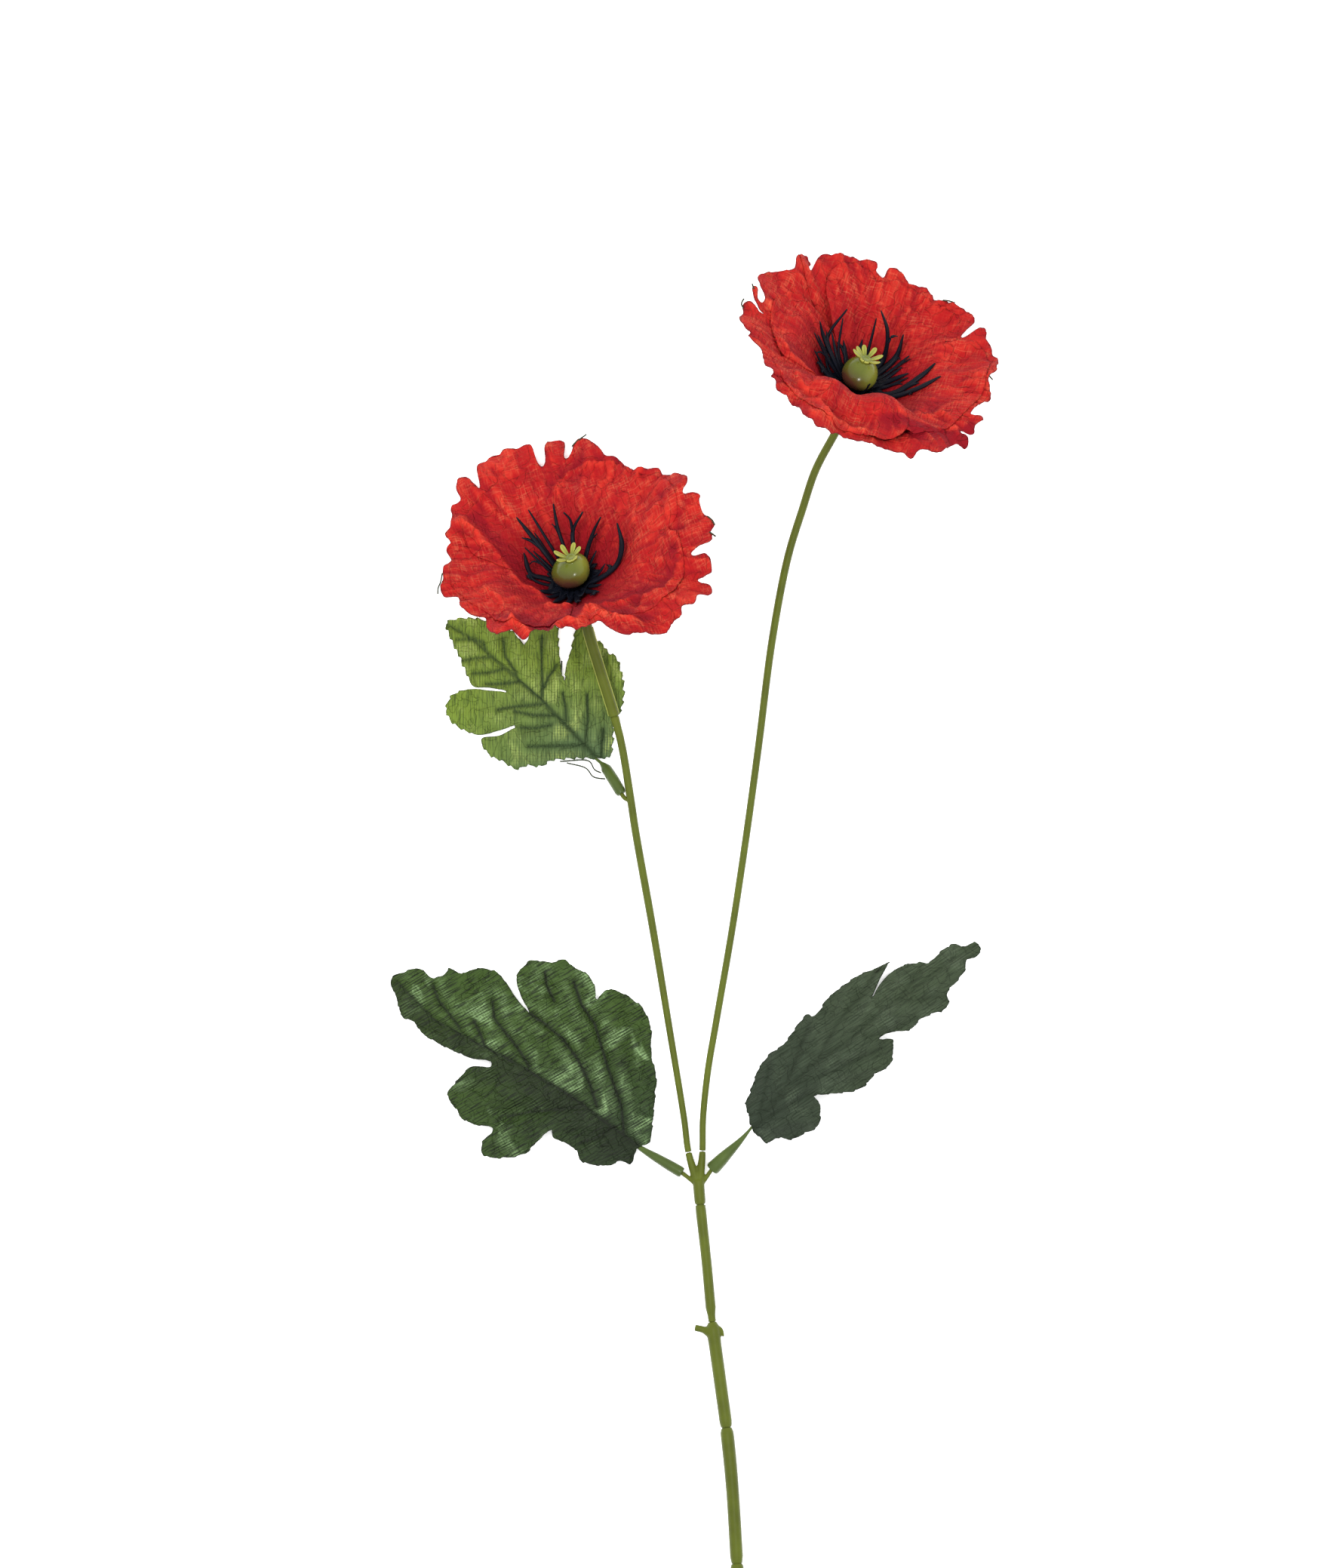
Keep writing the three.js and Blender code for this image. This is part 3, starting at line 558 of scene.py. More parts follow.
def add_weave(material: Material, place: Socket, pitch: float, uneven: float) -> list[Socket]:
    """Adds the threads of a cloth, which cross at right angles.

    Args:
        material: the material.
        place: where on the cloth, in millimetres.
        pitch: how far apart the threads lie.
        uneven: how much they wander.

    Returns:
        A value for each of the two directions, highest along the middle of a thread.
    """
    scale = 2 * math.pi / (WAVE_TURN * pitch)
    wave = {"Vector": place, "Scale": scale, "Distortion": uneven, "Detail": 1.0}
    return [add_node(material, "TexWave", wave, "Fac", bands_direction=d) for d in ("X", "Y")]


def add_creases(material: Material, place: Socket, widths: Sequence[float]) -> Socket:
    """Adds nets of thin crossing creases, as in cloth that was crushed and pressed flat again.

    Args:
        material: the material.
        place: where on the cloth, in millimetres.
        widths: how far apart the creases of each of the two nets lie.

    Returns:
        A value that is 1 along the creases of one net, 2 where both meet and 0 between them.
    """
    nets = []
    for width in widths:
        cells = {"Vector": place, "Scale": 1 / width, "Detail": 1.5, "Roughness": 0.4, "Distortion": 0.7}
        cloud = add_node(material, "TexNoise", cells)
        middle = add_node(material, "Math", {0: cloud, 1: 0.5}, operation="SUBTRACT")
        away = add_node(material, "Math", {0: middle}, operation="ABSOLUTE")
        near = {"Value": away, "From Max": CREASE_SHARE, "To Min": 1.0, "To Max": 0.0}
        nets.append(add_node(material, "MapRange", near))
    return add_node(material, "Math", {0: nets[0], 1: nets[1]}, operation="ADD")


class Finish:
    """A material made of nodes. Each kind says what goes into its shader."""

    name: str

    def sockets(self, made: Material) -> dict[str, object]:
        """Returns a value, or an output to link, for each of the shader's inputs that it sets."""
        raise NotImplementedError

    def material(self) -> Material:
        """Makes the finish.

        Returns:
            A material with one shader, which the sockets set.
        """
        made = bpy.data.materials.new(self.name)
        made.use_nodes = True
        tree = made.node_tree
        tree.nodes.clear()
        end = tree.nodes.new("ShaderNodeOutputMaterial")
        shader = add_node(made, "BsdfPrincipled", self.sockets(made))
        tree.links.new(shader, end.inputs["Surface"])
        return made


@dataclass(frozen=True)
class PetalCloth(Finish):
    """Woven polyester, dyed red, die-cut with a hot edge and pressed into crepe creases.

    It gives the eye a dry, fine-grained red with painted highlights on the crests of the creases and
    painted shade in their valleys, short bright threads painted where the weave would catch light, painted
    shade deepening the smooth middle, and a thin dark line along the cut.
    """

    name: str = "pressed_polyester_petal"
    # deep: the colour below the others, which shows as painted shade in the flower's middle and in the
    # valleys
    deep: str = "#740c16"
    body: str = "#911314"
    # crest: painted highlight on the crests of the creases and folds
    crest: str = "#b32d20"
    # thread: painted glint on the threads where the weave would catch light
    thread: str = "#cf7a56"
    hot_cut: str = "#581a1f"
    thread_pitch: float = 1.25  # real threads lie about 0.65 mm apart, too fine for the picture
    crease_widths: Pair = (11.0, 6.0)
    bare_width: float = 9.0  # patches where the threads catch the light
    bare: Triple = (0.4, 0.66, 0.15)  # where a patch starts and is full, and what shows between the patches
    streak: Pair = (5.0, 0.55)  # length and width of the threads that show a painted glint
    streak_edge: Pair = (0.53, 0.63)  # the fewer of them, the higher
    crease_glint: float = 0.12  # how bright the painted glint on the creases' edges shows beside the threads
    shine: float = 0.17  # how bright both painted glints show
    painted_crest_highlight: float = 0.9
    weave_relief: float = 0.3  # height of the threads beside the creases
    roughness: float = 0.75
    specular: float = 0.12
    bump_depth: float = 0.00022

    def sockets(self, made: Material) -> dict[str, object]:
        """Adds the nodes of the cloth.

        Args:
            made: the material.

        Returns:
            The inputs of its shader.
        """
        cut = add_node(made, "Attribute", out="Vector", attribute_name=CUT)
        crease, edge, depth = (
            add_node(made, "Attribute", out="Fac", attribute_name=mark) for mark in (CREASE, EDGE, DEPTH)
        )
        waves = add_weave(made, cut, self.thread_pitch, 3.0)
        weave = add_node(made, "Math", {0: waves[0], 1: waves[1]}, operation="ADD")
        glints = []
        long, thin = self.streak
        low, high = self.streak_edge
        for stretch in ((1 / thin, 1 / long, 1.0), (1 / long, 1 / thin, 1.0)):
            drawn = add_node(made, "Mapping", {"Vector": cut, "Scale": stretch})
            streak = add_node(made, "TexNoise", {"Vector": drawn, "Scale": 1.0, "Detail": 1.0})
            glints.append(add_node(made, "MapRange", {"Value": streak, "From Min": low, "From Max": high}))
        both = add_node(made, "Math", {0: glints[0], 1: glints[1]}, operation="ADD")
        cloud = {"Vector": cut, "Scale": 1 / self.bare_width, "Detail": 2.0, "Distortion": 0.5}
        patches = add_node(made, "TexNoise", cloud)
        low, high, least = self.bare
        worn = {"Value": patches, "From Min": low, "From Max": high, "To Min": least}
        bare = add_node(made, "MapRange", worn)
        glint = add_node(made, "Math", {0: both, 1: bare}, operation="MULTIPLY")
        crepe = add_creases(made, cut, self.crease_widths)
        # painted shade in the valleys and painted highlight on the crests, from the pressed tone
        low_tone = {"Value": crease, "From Max": 0.5, "To Min": 1.0, "To Max": 0.0}
        valley = add_node(made, "MapRange", low_tone)
        high_tone = {"Value": crease, "From Min": 0.5, "To Max": self.painted_crest_highlight}
        fold = add_node(made, "MapRange", high_tone)
        crossed = {0: crepe, 1: self.crease_glint, 2: glint}
        bright = add_node(made, "Math", crossed, operation="MULTIPLY_ADD")
        flat = add_node(made, "Math", {0: 1.0, 1: valley}, operation="SUBTRACT")
        open_cloth = add_node(made, "Math", {0: flat, 1: depth}, operation="MULTIPLY")
        lit = add_node(made, "Math", {0: bright, 1: open_cloth}, operation="MULTIPLY")
        shown = add_node(made, "Math", {0: lit, 1: self.shine}, operation="MULTIPLY", use_clamp=True)
        # body colour over the painted shade of the middle, then painted shade in the valleys, painted
        # highlights on the crests, painted glints on the threads, and the dark hot cut along the edge
        layers = (
            (depth, self.body), (valley, self.deep), (fold, self.crest), (shown, self.thread),
            (edge, self.hot_cut),
        )
        raised = {0: weave, 1: self.weave_relief, 2: crepe}
        relief = add_node(made, "Math", raised, operation="MULTIPLY_ADD")
        return {
            "Base Color": lay_colours(made, self.deep, layers),
            "Roughness": self.roughness,
            "Specular IOR Level": self.specular,
            "Normal": add_node(made, "Bump", {"Height": relief, "Distance": self.bump_depth}),
        }


@dataclass(frozen=True)
class LeafCloth(Finish):
    """Woven polyester, printed green, stiffened and pressed with veins.

    It gives the eye slanted threads, dark lines along the pressed veins with painted shade beside them,
    painted shade on one side of the midrib, a tone that changes from the stalk to the tip, and a satin
    gloss where the size was ironed on thick, with a painted sheen on every crest and in those patches.
    """

    name: str
    stalk_end: str
    body: str
    # crest: painted sheen on the crests and the sized patches
    crest: str
    # vein: the dark streaks, the vein lines with the painted shade by them and left of the midrib, and the
    # cut edge
    vein: str
    roughness: float
    specular: float
    thread_turn: float  # degrees from the midrib
    wear: float = 0.6  # how dark the streaks along the threads show
    gloss: float = 0.3  # how bright the painted sheen on the crushed creases shows
    streak: Pair = (6.5, 0.42)
    streak_edge: Pair = (0.49, 0.58)
    wrinkle_widths: Pair = (8.0, 4.0)
    thread_pitch: float = 0.95  # real threads lie about 0.7 mm apart, too fine for the picture
    weft: float = 0.35  # how much the threads across show beside those along
    patch_width: float = 11.0  # patches where the size lies thick: glossier, and paler with painted sheen
    bare: Pair = (0.55, 0.66)  # where such a patch starts and is full
    lift: float = 0.5  # how much paler a crest shows, as painted sheen
    shine: float = 0.46  # how bright the painted sheen on the threads and the creases shows
    weave_relief: float = 0.5  # height of the threads beside the creases
    bump_depth: float = 0.0002

    def sockets(self, made: Material) -> dict[str, object]:
        """Adds the nodes of the cloth.

        Args:
            made: the material.

        Returns:
            The inputs of its shader.
        """
        cut = add_node(made, "Attribute", out="Vector", attribute_name=CUT)
        crease, edge, depth, crest = (
            add_node(made, "Attribute", out="Fac", attribute_name=mark)
            for mark in (CREASE, EDGE, DEPTH, CREST)
        )
        slant = (0, 0, math.radians(self.thread_turn))
        turned = add_node(made, "Mapping", {"Vector": cut, "Rotation": slant})
        threads = add_weave(made, turned, self.thread_pitch, 0.9)
        crossed = {0: threads[0], 1: self.weft, 2: threads[1]}
        weave = add_node(made, "Math", crossed, operation="MULTIPLY_ADD")
        long, thin = self.streak
        drawn = add_node(made, "Mapping", {"Vector": turned, "Scale": (1 / long, 1 / thin, 1.0)})
        streaks = add_node(made, "TexNoise", {"Vector": drawn, "Scale": 1.0, "Detail": 2.0})
        low, high = self.streak_edge
        streaked = {"Value": streaks, "From Min": low, "From Max": high, "To Max": self.wear}
        worn = add_node(made, "MapRange", streaked)
        crushed = add_creases(made, cut, self.wrinkle_widths)
        cloud = {"Vector": cut, "Scale": 1 / self.patch_width, "Detail": 3.0, "Distortion": 0.6}
        patches = add_node(made, "TexNoise", cloud)
        low, high = self.bare
        bare = add_node(made, "MapRange", {"Value": patches, "From Min": low, "From Max": high})
        bright = {0: crushed, 1: self.gloss, 2: weave}
        mixed = add_node(made, "Math", bright, operation="MULTIPLY_ADD")
        shown = add_node(made, "Math", {0: mixed, 1: self.shine}, operation="MULTIPLY")
        lifted = add_node(made, "Math", {0: crest, 1: self.lift, 2: bare}, operation="MULTIPLY_ADD")
        open_cloth = add_node(made, "Math", {0: 1.0, 1: crease}, operation="SUBTRACT")
        raised = add_node(made, "Math", {0: lifted, 1: open_cloth}, operation="MULTIPLY")
        pale = add_node(made, "Math", {0: shown, 1: raised}, operation="MULTIPLY", use_clamp=True)
        # the stalk-end tone and body, painted sheen on crests and sized patches, then the dark streaks, the
        # vein lines with their painted shade, and the cut edge
        layers = [(depth, self.body), (pale, self.crest)]
        layers += [(dark, self.vein) for dark in (worn, crease, edge)]
        dull, satin = self.roughness + 0.15, self.roughness
        sized = {"Value": patches, "From Min": 0.3, "From Max": 0.7, "To Min": dull, "To Max": satin}
        pressed = {0: weave, 1: self.weave_relief, 2: crushed}
        relief = add_node(made, "Math", pressed, operation="MULTIPLY_ADD")
        return {
            "Base Color": lay_colours(made, self.stalk_end, layers),
            "Roughness": add_node(made, "MapRange", sized),
            "Specular IOR Level": self.specular,
            "Normal": add_node(made, "Bump", {"Height": relief, "Distance": self.bump_depth}),
        }


@dataclass(frozen=True)
class MouldedPlastic(Finish):
    """Polyethylene, dyed through and injection moulded.

    It gives the eye an even colour with soft cloudy changes in tone, a satin gloss and the faint drag marks
    of the mould.
    """

    name: str
    body: str
    shade: str
    roughness: float
    specular: float = 0.4
    cloud_width: float = 0.009
    grain_width: float = 0.0007
    bump_depth: float = 0.00006
    bump_strength: float = 0.6
    uneven: float = 0.08  # how much the gloss changes

    def sockets(self, made: Material) -> dict[str, object]:
        """Adds the nodes of the plastic.

        Args:
            made: the material.

        Returns:
            The inputs of its shader.
        """
        place = add_node(made, "TexCoord", out="Object")
        cloud, grain = (
            add_node(made, "TexNoise", {"Vector": place, "Scale": 1 / width, "Detail": detail})
            for width, detail in ((self.cloud_width, 3.0), (self.grain_width, 2.0))
        )
        tone = add_node(made, "MapRange", {"Value": cloud, "From Min": 0.3, "From Max": 0.7})
        low, high = self.roughness - self.uneven, self.roughness + self.uneven
        gloss = {"Value": cloud, "To Min": low, "To Max": high}
        drag = {"Height": grain, "Distance": self.bump_depth, "Strength": self.bump_strength}
        return {
            "Base Color": lay_colours(made, self.shade, [(tone, self.body)]),
            "Roughness": add_node(made, "MapRange", gloss),
            "Specular IOR Level": self.specular,
            "Normal": add_node(made, "Bump", drag),
        }


@dataclass(frozen=True)
class PodPlastic(Finish):
    """Glossy polyethylene, brushed by hand with a thin wash: pale on the crown and russet low on the body.

    It gives the eye small sharp highlights, an uneven, patchy colour and painted light on one side of the
    body.
    """

    name: str = "glossy_polyethylene_pod"
    body: str = "#4a5316"
    # crown: the pale crown and seam, also painted light on one side of the body
    crown: str = "#8a8b3a"
    wash: str = "#40251b"
    wash_strength: float = 0.8
    roughness: float = 0.2
    specular: float = 0.35
    cloud_width: float = 0.004

    def sockets(self, made: Material) -> dict[str, object]:
        """Adds the nodes of the plastic.

        Args:
            made: the material.

        Returns:
            The inputs of its shader.
        """
        place = add_node(made, "TexCoord", out="Object")
        # crown: paler crown and seam, with painted light on the side across from the wash; wash: the russet
        # wash
        crown, wash = (
            add_node(made, "Attribute", out="Fac", attribute_name=mark) for mark in (DEPTH, EDGE)
        )
        brushed = {"Vector": place, "Scale": 1 / self.cloud_width, "Detail": 2.0}
        cloud = add_node(made, "TexNoise", brushed)
        thick = add_node(made, "Math", {0: cloud, 1: self.wash_strength}, operation="ADD")
        patchy = add_node(made, "Math", {0: wash, 1: thick}, operation="MULTIPLY")
        return {
            "Base Color": lay_colours(made, self.body, ((patchy, self.wash), (crown, self.crown))),
            "Roughness": self.roughness,
            "Specular IOR Level": self.specular,
        }


@dataclass(frozen=True)
class DrawnWire(Finish):
    """Bright drawn steel wire. It gives the eye a grey metal with fine lines in its gloss."""

    name: str = "drawn_steel_wire"
    body: str = "#8c8c88"
    roughness: float = 0.35
    uneven: float = 0.1
    line_width: float = 0.0004

    def sockets(self, made: Material) -> dict[str, object]:
        """Adds the nodes of the metal.

        Args:
            made: the material.

        Returns:
            The inputs of its shader.
        """
        place = add_node(made, "TexCoord", out="Object")
        drawn = {"Vector": place, "Scale": 1 / self.line_width, "Detail": 2.0}
        lines = add_node(made, "TexNoise", drawn)
        low, high = self.roughness - self.uneven, self.roughness + self.uneven
        rough = add_node(made, "MapRange", {"Value": lines, "To Min": low, "To Max": high})
        return {"Base Color": linear(self.body), "Metallic": 1.0, "Roughness": rough}


@dataclass(frozen=True)
class FloorPaper(Finish):
    """Matt white background paper on a light table. It gives the eye an even white without a shadow."""

    name: str = "white_background_paper"
    body: str = "#fdfdfd"
    roughness: float = 0.9
    glow: float = 0.35  # lit from behind

    def sockets(self, made: Material) -> dict[str, object]:
        """Returns the inputs of the paper's shader."""
        return {
            "Base Color": linear(self.body),
            "Roughness": self.roughness,
            "Specular IOR Level": 0.0,
            "Emission Color": linear(self.body),
            "Emission Strength": self.glow,
        }


# Threads

@dataclass
class LooseThreads:
    """Frayed ends of thread that stand out from the cut edges."""

    name: str
    paths: Sequence[Sequence[Vector]]
    radius: float = 0.28  # a real thread is finer than the picture shows

    def build(self, cloth: Material, slot: Slot) -> Object:
        """Makes the threads as one piece.

        Args:
            cloth: finish.
            slot: not used.

        Returns:
            The piece.
        """
        bm = bmesh.new()
        for path in self.paths:
            route = Route(path)
            add_rod(bm, route, rounded([(0, self.radius), (route.length, self.radius)], 0.04), 5, step=0.8)
        return make_piece(self.name, bm, cloth)


# Flowers

PETAL_HALF = 52.0  # half the angle that a petal spans


@dataclass(frozen=True)
class Bump:
    """A soft change in a bloom's height round one angle, and the radii between which a lift stands."""

    angle: float
    reach: float
    height: float
    near: float = 9.0
    far: float = 34.0

    def at(self, angle: float) -> float:
        """Returns the change at an angle, before it is faded along the radius."""
        away = abs((angle - self.angle + 180) % 360 - 180)
        return self.height * math.cos(math.pi / 2 * min(away / self.reach, 1.0)) ** 2

    def lift(self, radius: float, angle: float) -> float:
        """Returns the change at a place, highest midway between its two radii."""
        share = clamp((radius - self.near) / (self.far - self.near))
        return self.at(angle) * math.sin(math.pi * share**1.1)


@dataclass(frozen=True)
class Fold:
    """A crest that the cloth is folded into, along [x, y] places on the flat layer, with a painted
    highlight along it and painted shade on one side.
    """

    places: Line
    height: float = 1.2
    width: float = 1.2
    shine: float = 0.8  # how much paler the crest shows, as painted highlight
    shade: float = 0.0  # how much darker one side of it shows, as painted shade
    # how far the painted shade reaches
    shade_reach: float = 7.0
    waver: float = 1.8  # how far the crest wanders from its line
    wavelength: float = 4.5
    roundness: float = 1.25  # how the crest's section falls off: 1 is sharp, 2 is round

    def press(self, place: Vector) -> Pair:
        """Measures the fold at a place.

        Args:
            place: where on the flat layer.

        Returns:
            How much the cloth rises there, and how much paler it is: a painted highlight on the crest, and
            painted shade on the side towards the flower's middle, or on the other side if the shade is
            negative.
        """
        nearest = line_place(place, self.places)
        away = (nearest - place).length
        if away > 3 * self.shade_reach:
            return 0.0, 0.0
        wave = Vector([noise.noise(place / self.wavelength + Vector((0, 0, k))) for k in (3.7, 8.1)])
        near = (nearest - place - self.waver * wave.to_3d()).length
        share = math.exp(-((near / self.width) ** self.roundness)) * (1 + 0.5 * wave.x)
        inward = math.copysign(1.0, self.shade) * (nearest.length - place.length)
        shade = abs(self.shade) * smooth(inward, 0.0, 1.2) * math.exp(-((away / self.shade_reach) ** 2))
        return self.height * share, self.shine * (0.5 * share - 0.25 * (share**0.3 - share)) - shade


@dataclass(frozen=True)
class Crepe:
    """The creases that the press leaves in a layer: pleats towards the rim and crumples all over."""

    seed: float
    pleat: Triple = (0.6, 4.2, 22.0)  # height, width round the flower and length along the radius
    crumple: Pair = (0.28, 9.0)  # height and width
    crinkle: Pair = (0.1, 4.5)
    tones: Triple = (0.62, 0.3, 0.12)  # how clearly each of the three shows as painted shade in its valleys and painted highlights on its crests
    swell: float = 0.9  # height of the soft waves below them
    swell_width: float = 19.8
    rim: float = 38.0  # radius at which the pleats are full
    pleat_start: float = 16.0
    pressed: Pair = (9.0, 24.0)  # radii between which the press reaches
    sharpness: Triple = (3.2, 7.0, 4.5)  # how narrow the crests of the three are

    def relief(self, radius: float, angle: float) -> Pair:
        """Measures the creases at a place.

        Args:
            radius: distance from the flower's axis.
            angle: degrees round it.

        Returns:
            How much the cloth rises there, and its tone: painted shade at 0 in a valley, smooth cloth at
            0.5, and a painted highlight at 1 on a crest.
        """
        (height, width, length), (low, wide), (lowest, narrow) = self.pleat, self.crumple, self.crinkle
        flat = polar(radius, angle, self.seed * 40)
        soft = noise.noise(flat / self.swell_width)
        ring = polar(self.rim / width, angle + 7 * soft, radius / length + self.seed)
        pressed = smooth(radius, *self.pressed)
        apart = Vector((9.5, 4.5, 7.5))  # from the noise of the crests to that of the valleys
        pleat, crumple, crinkle = (
            ridge(noise.noise(place), sharpness) - ridge(noise.noise(place + apart), sharpness)
            for place, sharpness in zip((ring, flat / wide, flat / narrow), self.sharpness)
        )
        fine = pressed * (low * crumple + lowest * crinkle + self.swell * soft)
        a, b, c = self.tones
        tone = 0.5 + 0.5 * pressed * (a * pleat + b * crumple + c * crinkle)
        return smooth(radius, self.pleat_start, self.rim) * height * pleat + fine, clamp(tone)


@dataclass(frozen=True)
class Bowl:
    """The shape that the petals of one flower are pressed to."""

    droops: Sequence[Bump]
    lifts: Sequence[Bump]
    radius: float = 47.0
    depth: float = 27.0
    hub: Pair = (2.0, 9.0)  # radii between which the inner petals leave the outer ones
    hub_gap: float = 1.2
    wall_gap: float = 2.9
    rim_gap: float = 0.5
    rim: Pair = (24.0, 34.0)  # radii between which they come back to them
    wave_start: float = 12.0
    wave_height: float = 2.2
    waves: Sequence[Triple] = ((0.7, 13, 0), (0.4, 7, 1))  # share of the height, count and start

    def outer(self, radius: float, angle: float) -> float:
        """Gives the outer petals' height.

        Args:
            radius: distance from the middle of the flower, in millimetres.
            angle: turn round the flower, in degrees.

        Returns:
            The height there above the base of the bowl.
        """

        def rise(start: float) -> float:
            """Returns the share of a rise that begins at that radius."""
            return (1 - math.cos(math.pi * clamp((radius - start) / (self.radius - start)))) / 2

        droop = sum(bump.at(angle) for bump in self.droops)
        out = max(0.0, (radius - self.wave_start) / (self.radius - self.wave_start))
        turn = math.radians(angle)
        wave = sum(share * math.sin(count * turn + start) for share, count, start in self.waves)
        wave *= self.wave_height * out**2
        return self.depth * rise(0.0) - droop * rise(self.hub[1]) + wave

    def inner(self, radius: float, angle: float) -> float:
        """Gives the inner petals' height.

        Args:
            radius: distance from the middle of the flower, in millimetres.
            angle: turn round the flower, in degrees.

        Returns:
            The height there above the base of the bowl.
        """
        wall = clamp((radius - self.hub[0]) / (self.hub[1] - self.hub[0]))
        gap = blend(blend(self.hub_gap, self.wall_gap, wall), self.rim_gap, smooth(radius, *self.rim))
        return self.outer(radius, angle) + gap + sum(bump.lift(radius, angle) for bump in self.lifts)


@dataclass(frozen=True)
class Petal:
    """One petal of a layer: the angle of its middle, and its rim on the flat cloth, from side to side."""

    middle: float
    rim: Sequence[Vector]


def drawn_petal(middle: float, rim: Line) -> Petal:
    """Returns a petal whose rim runs smoothly through [angle, radius] places."""
    return Petal(middle, fine_line([polar(radius, angle) for angle, radius in rim], 0.5))


def shared_petals(cut: Line, turn: float) -> list[Petal]:
    """Shares the cut edge of a whole layer out among its four petals, whose sides lap.

    Args:
        cut: the closed cut edge as [angle, radius], clockwise.
        turn: angle of the first petal's middle.

    Returns:
        The petals, with rounded corners where they lap.
    """
    points = [polar(radius, angle) for angle, radius in reversed(cut)]
    whole = fine_line([*points, points[0]], 0.5)[:-1]
    count = len(whole)
    angles = [math.degrees(math.atan2(p.y, p.x)) for p in whole]
    petals = []
    for middle in (turn + 90 * k for k in range(4)):
        away = [(angle - middle + 180) % 360 - 180 for angle in angles]
        start = min(range(count), key=lambda k: abs(away[k]))
        low = high = start
        while abs(away[(low - 1) % count]) <= PETAL_HALF:
            low -= 1
        while abs(away[(high + 1) % count]) <= PETAL_HALF:
            high += 1
        rim = []
        for k in range(low, high + 1):
            corner = 1 - 0.3 * smooth(abs(away[k % count]) / PETAL_HALF, 0.87, 1.06)
            rim.append(whole[k % count] * corner)
        petals.append(Petal(middle, rim))
    return petals


@dataclass
class PetalLayer:
    """One die-cut layer of four petals, joined round the hole in its middle, with edges that lap."""

    petals: Sequence[Petal]
    height: Callable[[float, float], float]
    folds: Sequence[Fold]
    crepe: Crepe
    rim_tone: float  # how dark the hot cut shows along the rim
    side_tone: float = 0.12  # and along the sides, which lap
    rim_share: float = 0.86  # how much of a petal's angle is rim
    hub_half: float = 46.0
    hub: float = 2.0
    lap: float = 0.25
    stretch: float = 1.1  # length of the pressed cloth for a length on the flat layer
    cell: float = 0.85
    cloth: float = 0.25

    def build(self, pose: Matrix) -> Mesh:
        """Shapes the layer.

        Args:
            pose: matrix from the flower's frame to the part's.

        Returns:
            The middle surface of the cloth.
        """
        bm = bmesh.new()
        ends = [0]
        for petal in self.petals:
            hole = [polar(self.hub, petal.middle + self.hub_half * k / 4) for k in range(4, -5, -1)]
            sheet = cut_sheet([*hole, *petal.rim], self.cell)
            flat = bpy.data.meshes.new("flat_petal")
            sheet.to_mesh(flat)
            sheet.free()
            bm.from_mesh(flat)
            bpy.data.meshes.remove(flat)
            ends.append(len(bm.verts))
        bm.verts.layers.float_vector.new(CUT)
        for name in (CREASE, EDGE, DEPTH):
            bm.verts.layers.float.new(name)
        bm.verts.ensure_lookup_table()
        for petal, start, end in zip(self.petals, ends, ends[1:]):
            for vert in bm.verts[start:end]:
                self.press(bm, vert, petal.middle)
        bmesh.ops.recalc_face_normals(bm, faces=bm.faces)
        bmesh.ops.transform(bm, matrix=pose, verts=bm.verts)
        lay_down(bm, self.cloth / 2)
        return bm

    def press(self, bm: Mesh, vert: Vert, middle: float) -> None:
        """Presses one vertex of the flat layer into the bowl and marks what the finish reads.

        Args:
            bm: the layer's mesh.
            vert: the vertex.
            middle: angle of its petal's middle.
        """
        flat = vert.co.copy()
        radius = flat.length
        angle = math.degrees(math.atan2(flat.y, flat.x))
        away = ((angle - middle + 180) % 360 - 180) / PETAL_HALF
        rise, press = self.crepe.relief(radius, angle)
        for fold in self.folds:
            lifted, paler = fold.press(flat)
            rise += lifted
            press += paler
        vert.co = polar(radius, angle, self.height(radius, angle) + self.lap * away + rise)
        tone = self.rim_tone if abs(away) < self.rim_share else self.side_tone
        layers = bm.verts.layers
        vert[layers.float_vector[CUT]] = flat * self.stretch
        # painted shade in the valleys and painted highlights on the crests of the creases and folds
        vert[layers.float[CREASE]] = clamp(press)
        vert[layers.float[EDGE]] = tone if vert.is_boundary else 0.0
        # painted shade that deepens towards the flower's middle; it also keeps the painted glints off the
        # middle
        vert[layers.float[DEPTH]] = smooth(radius, 8.0, 32.0)


@dataclass(frozen=True)
class Strand:
    """One black strand: where its root stands on the ring, and its places as [radius, angle, height]."""

    root_turn: float
    places: Sequence[Triple]
    forks: Sequence[tuple[float, Triple]] = ()
    width: float = 2.4
    tip: float = 0.6


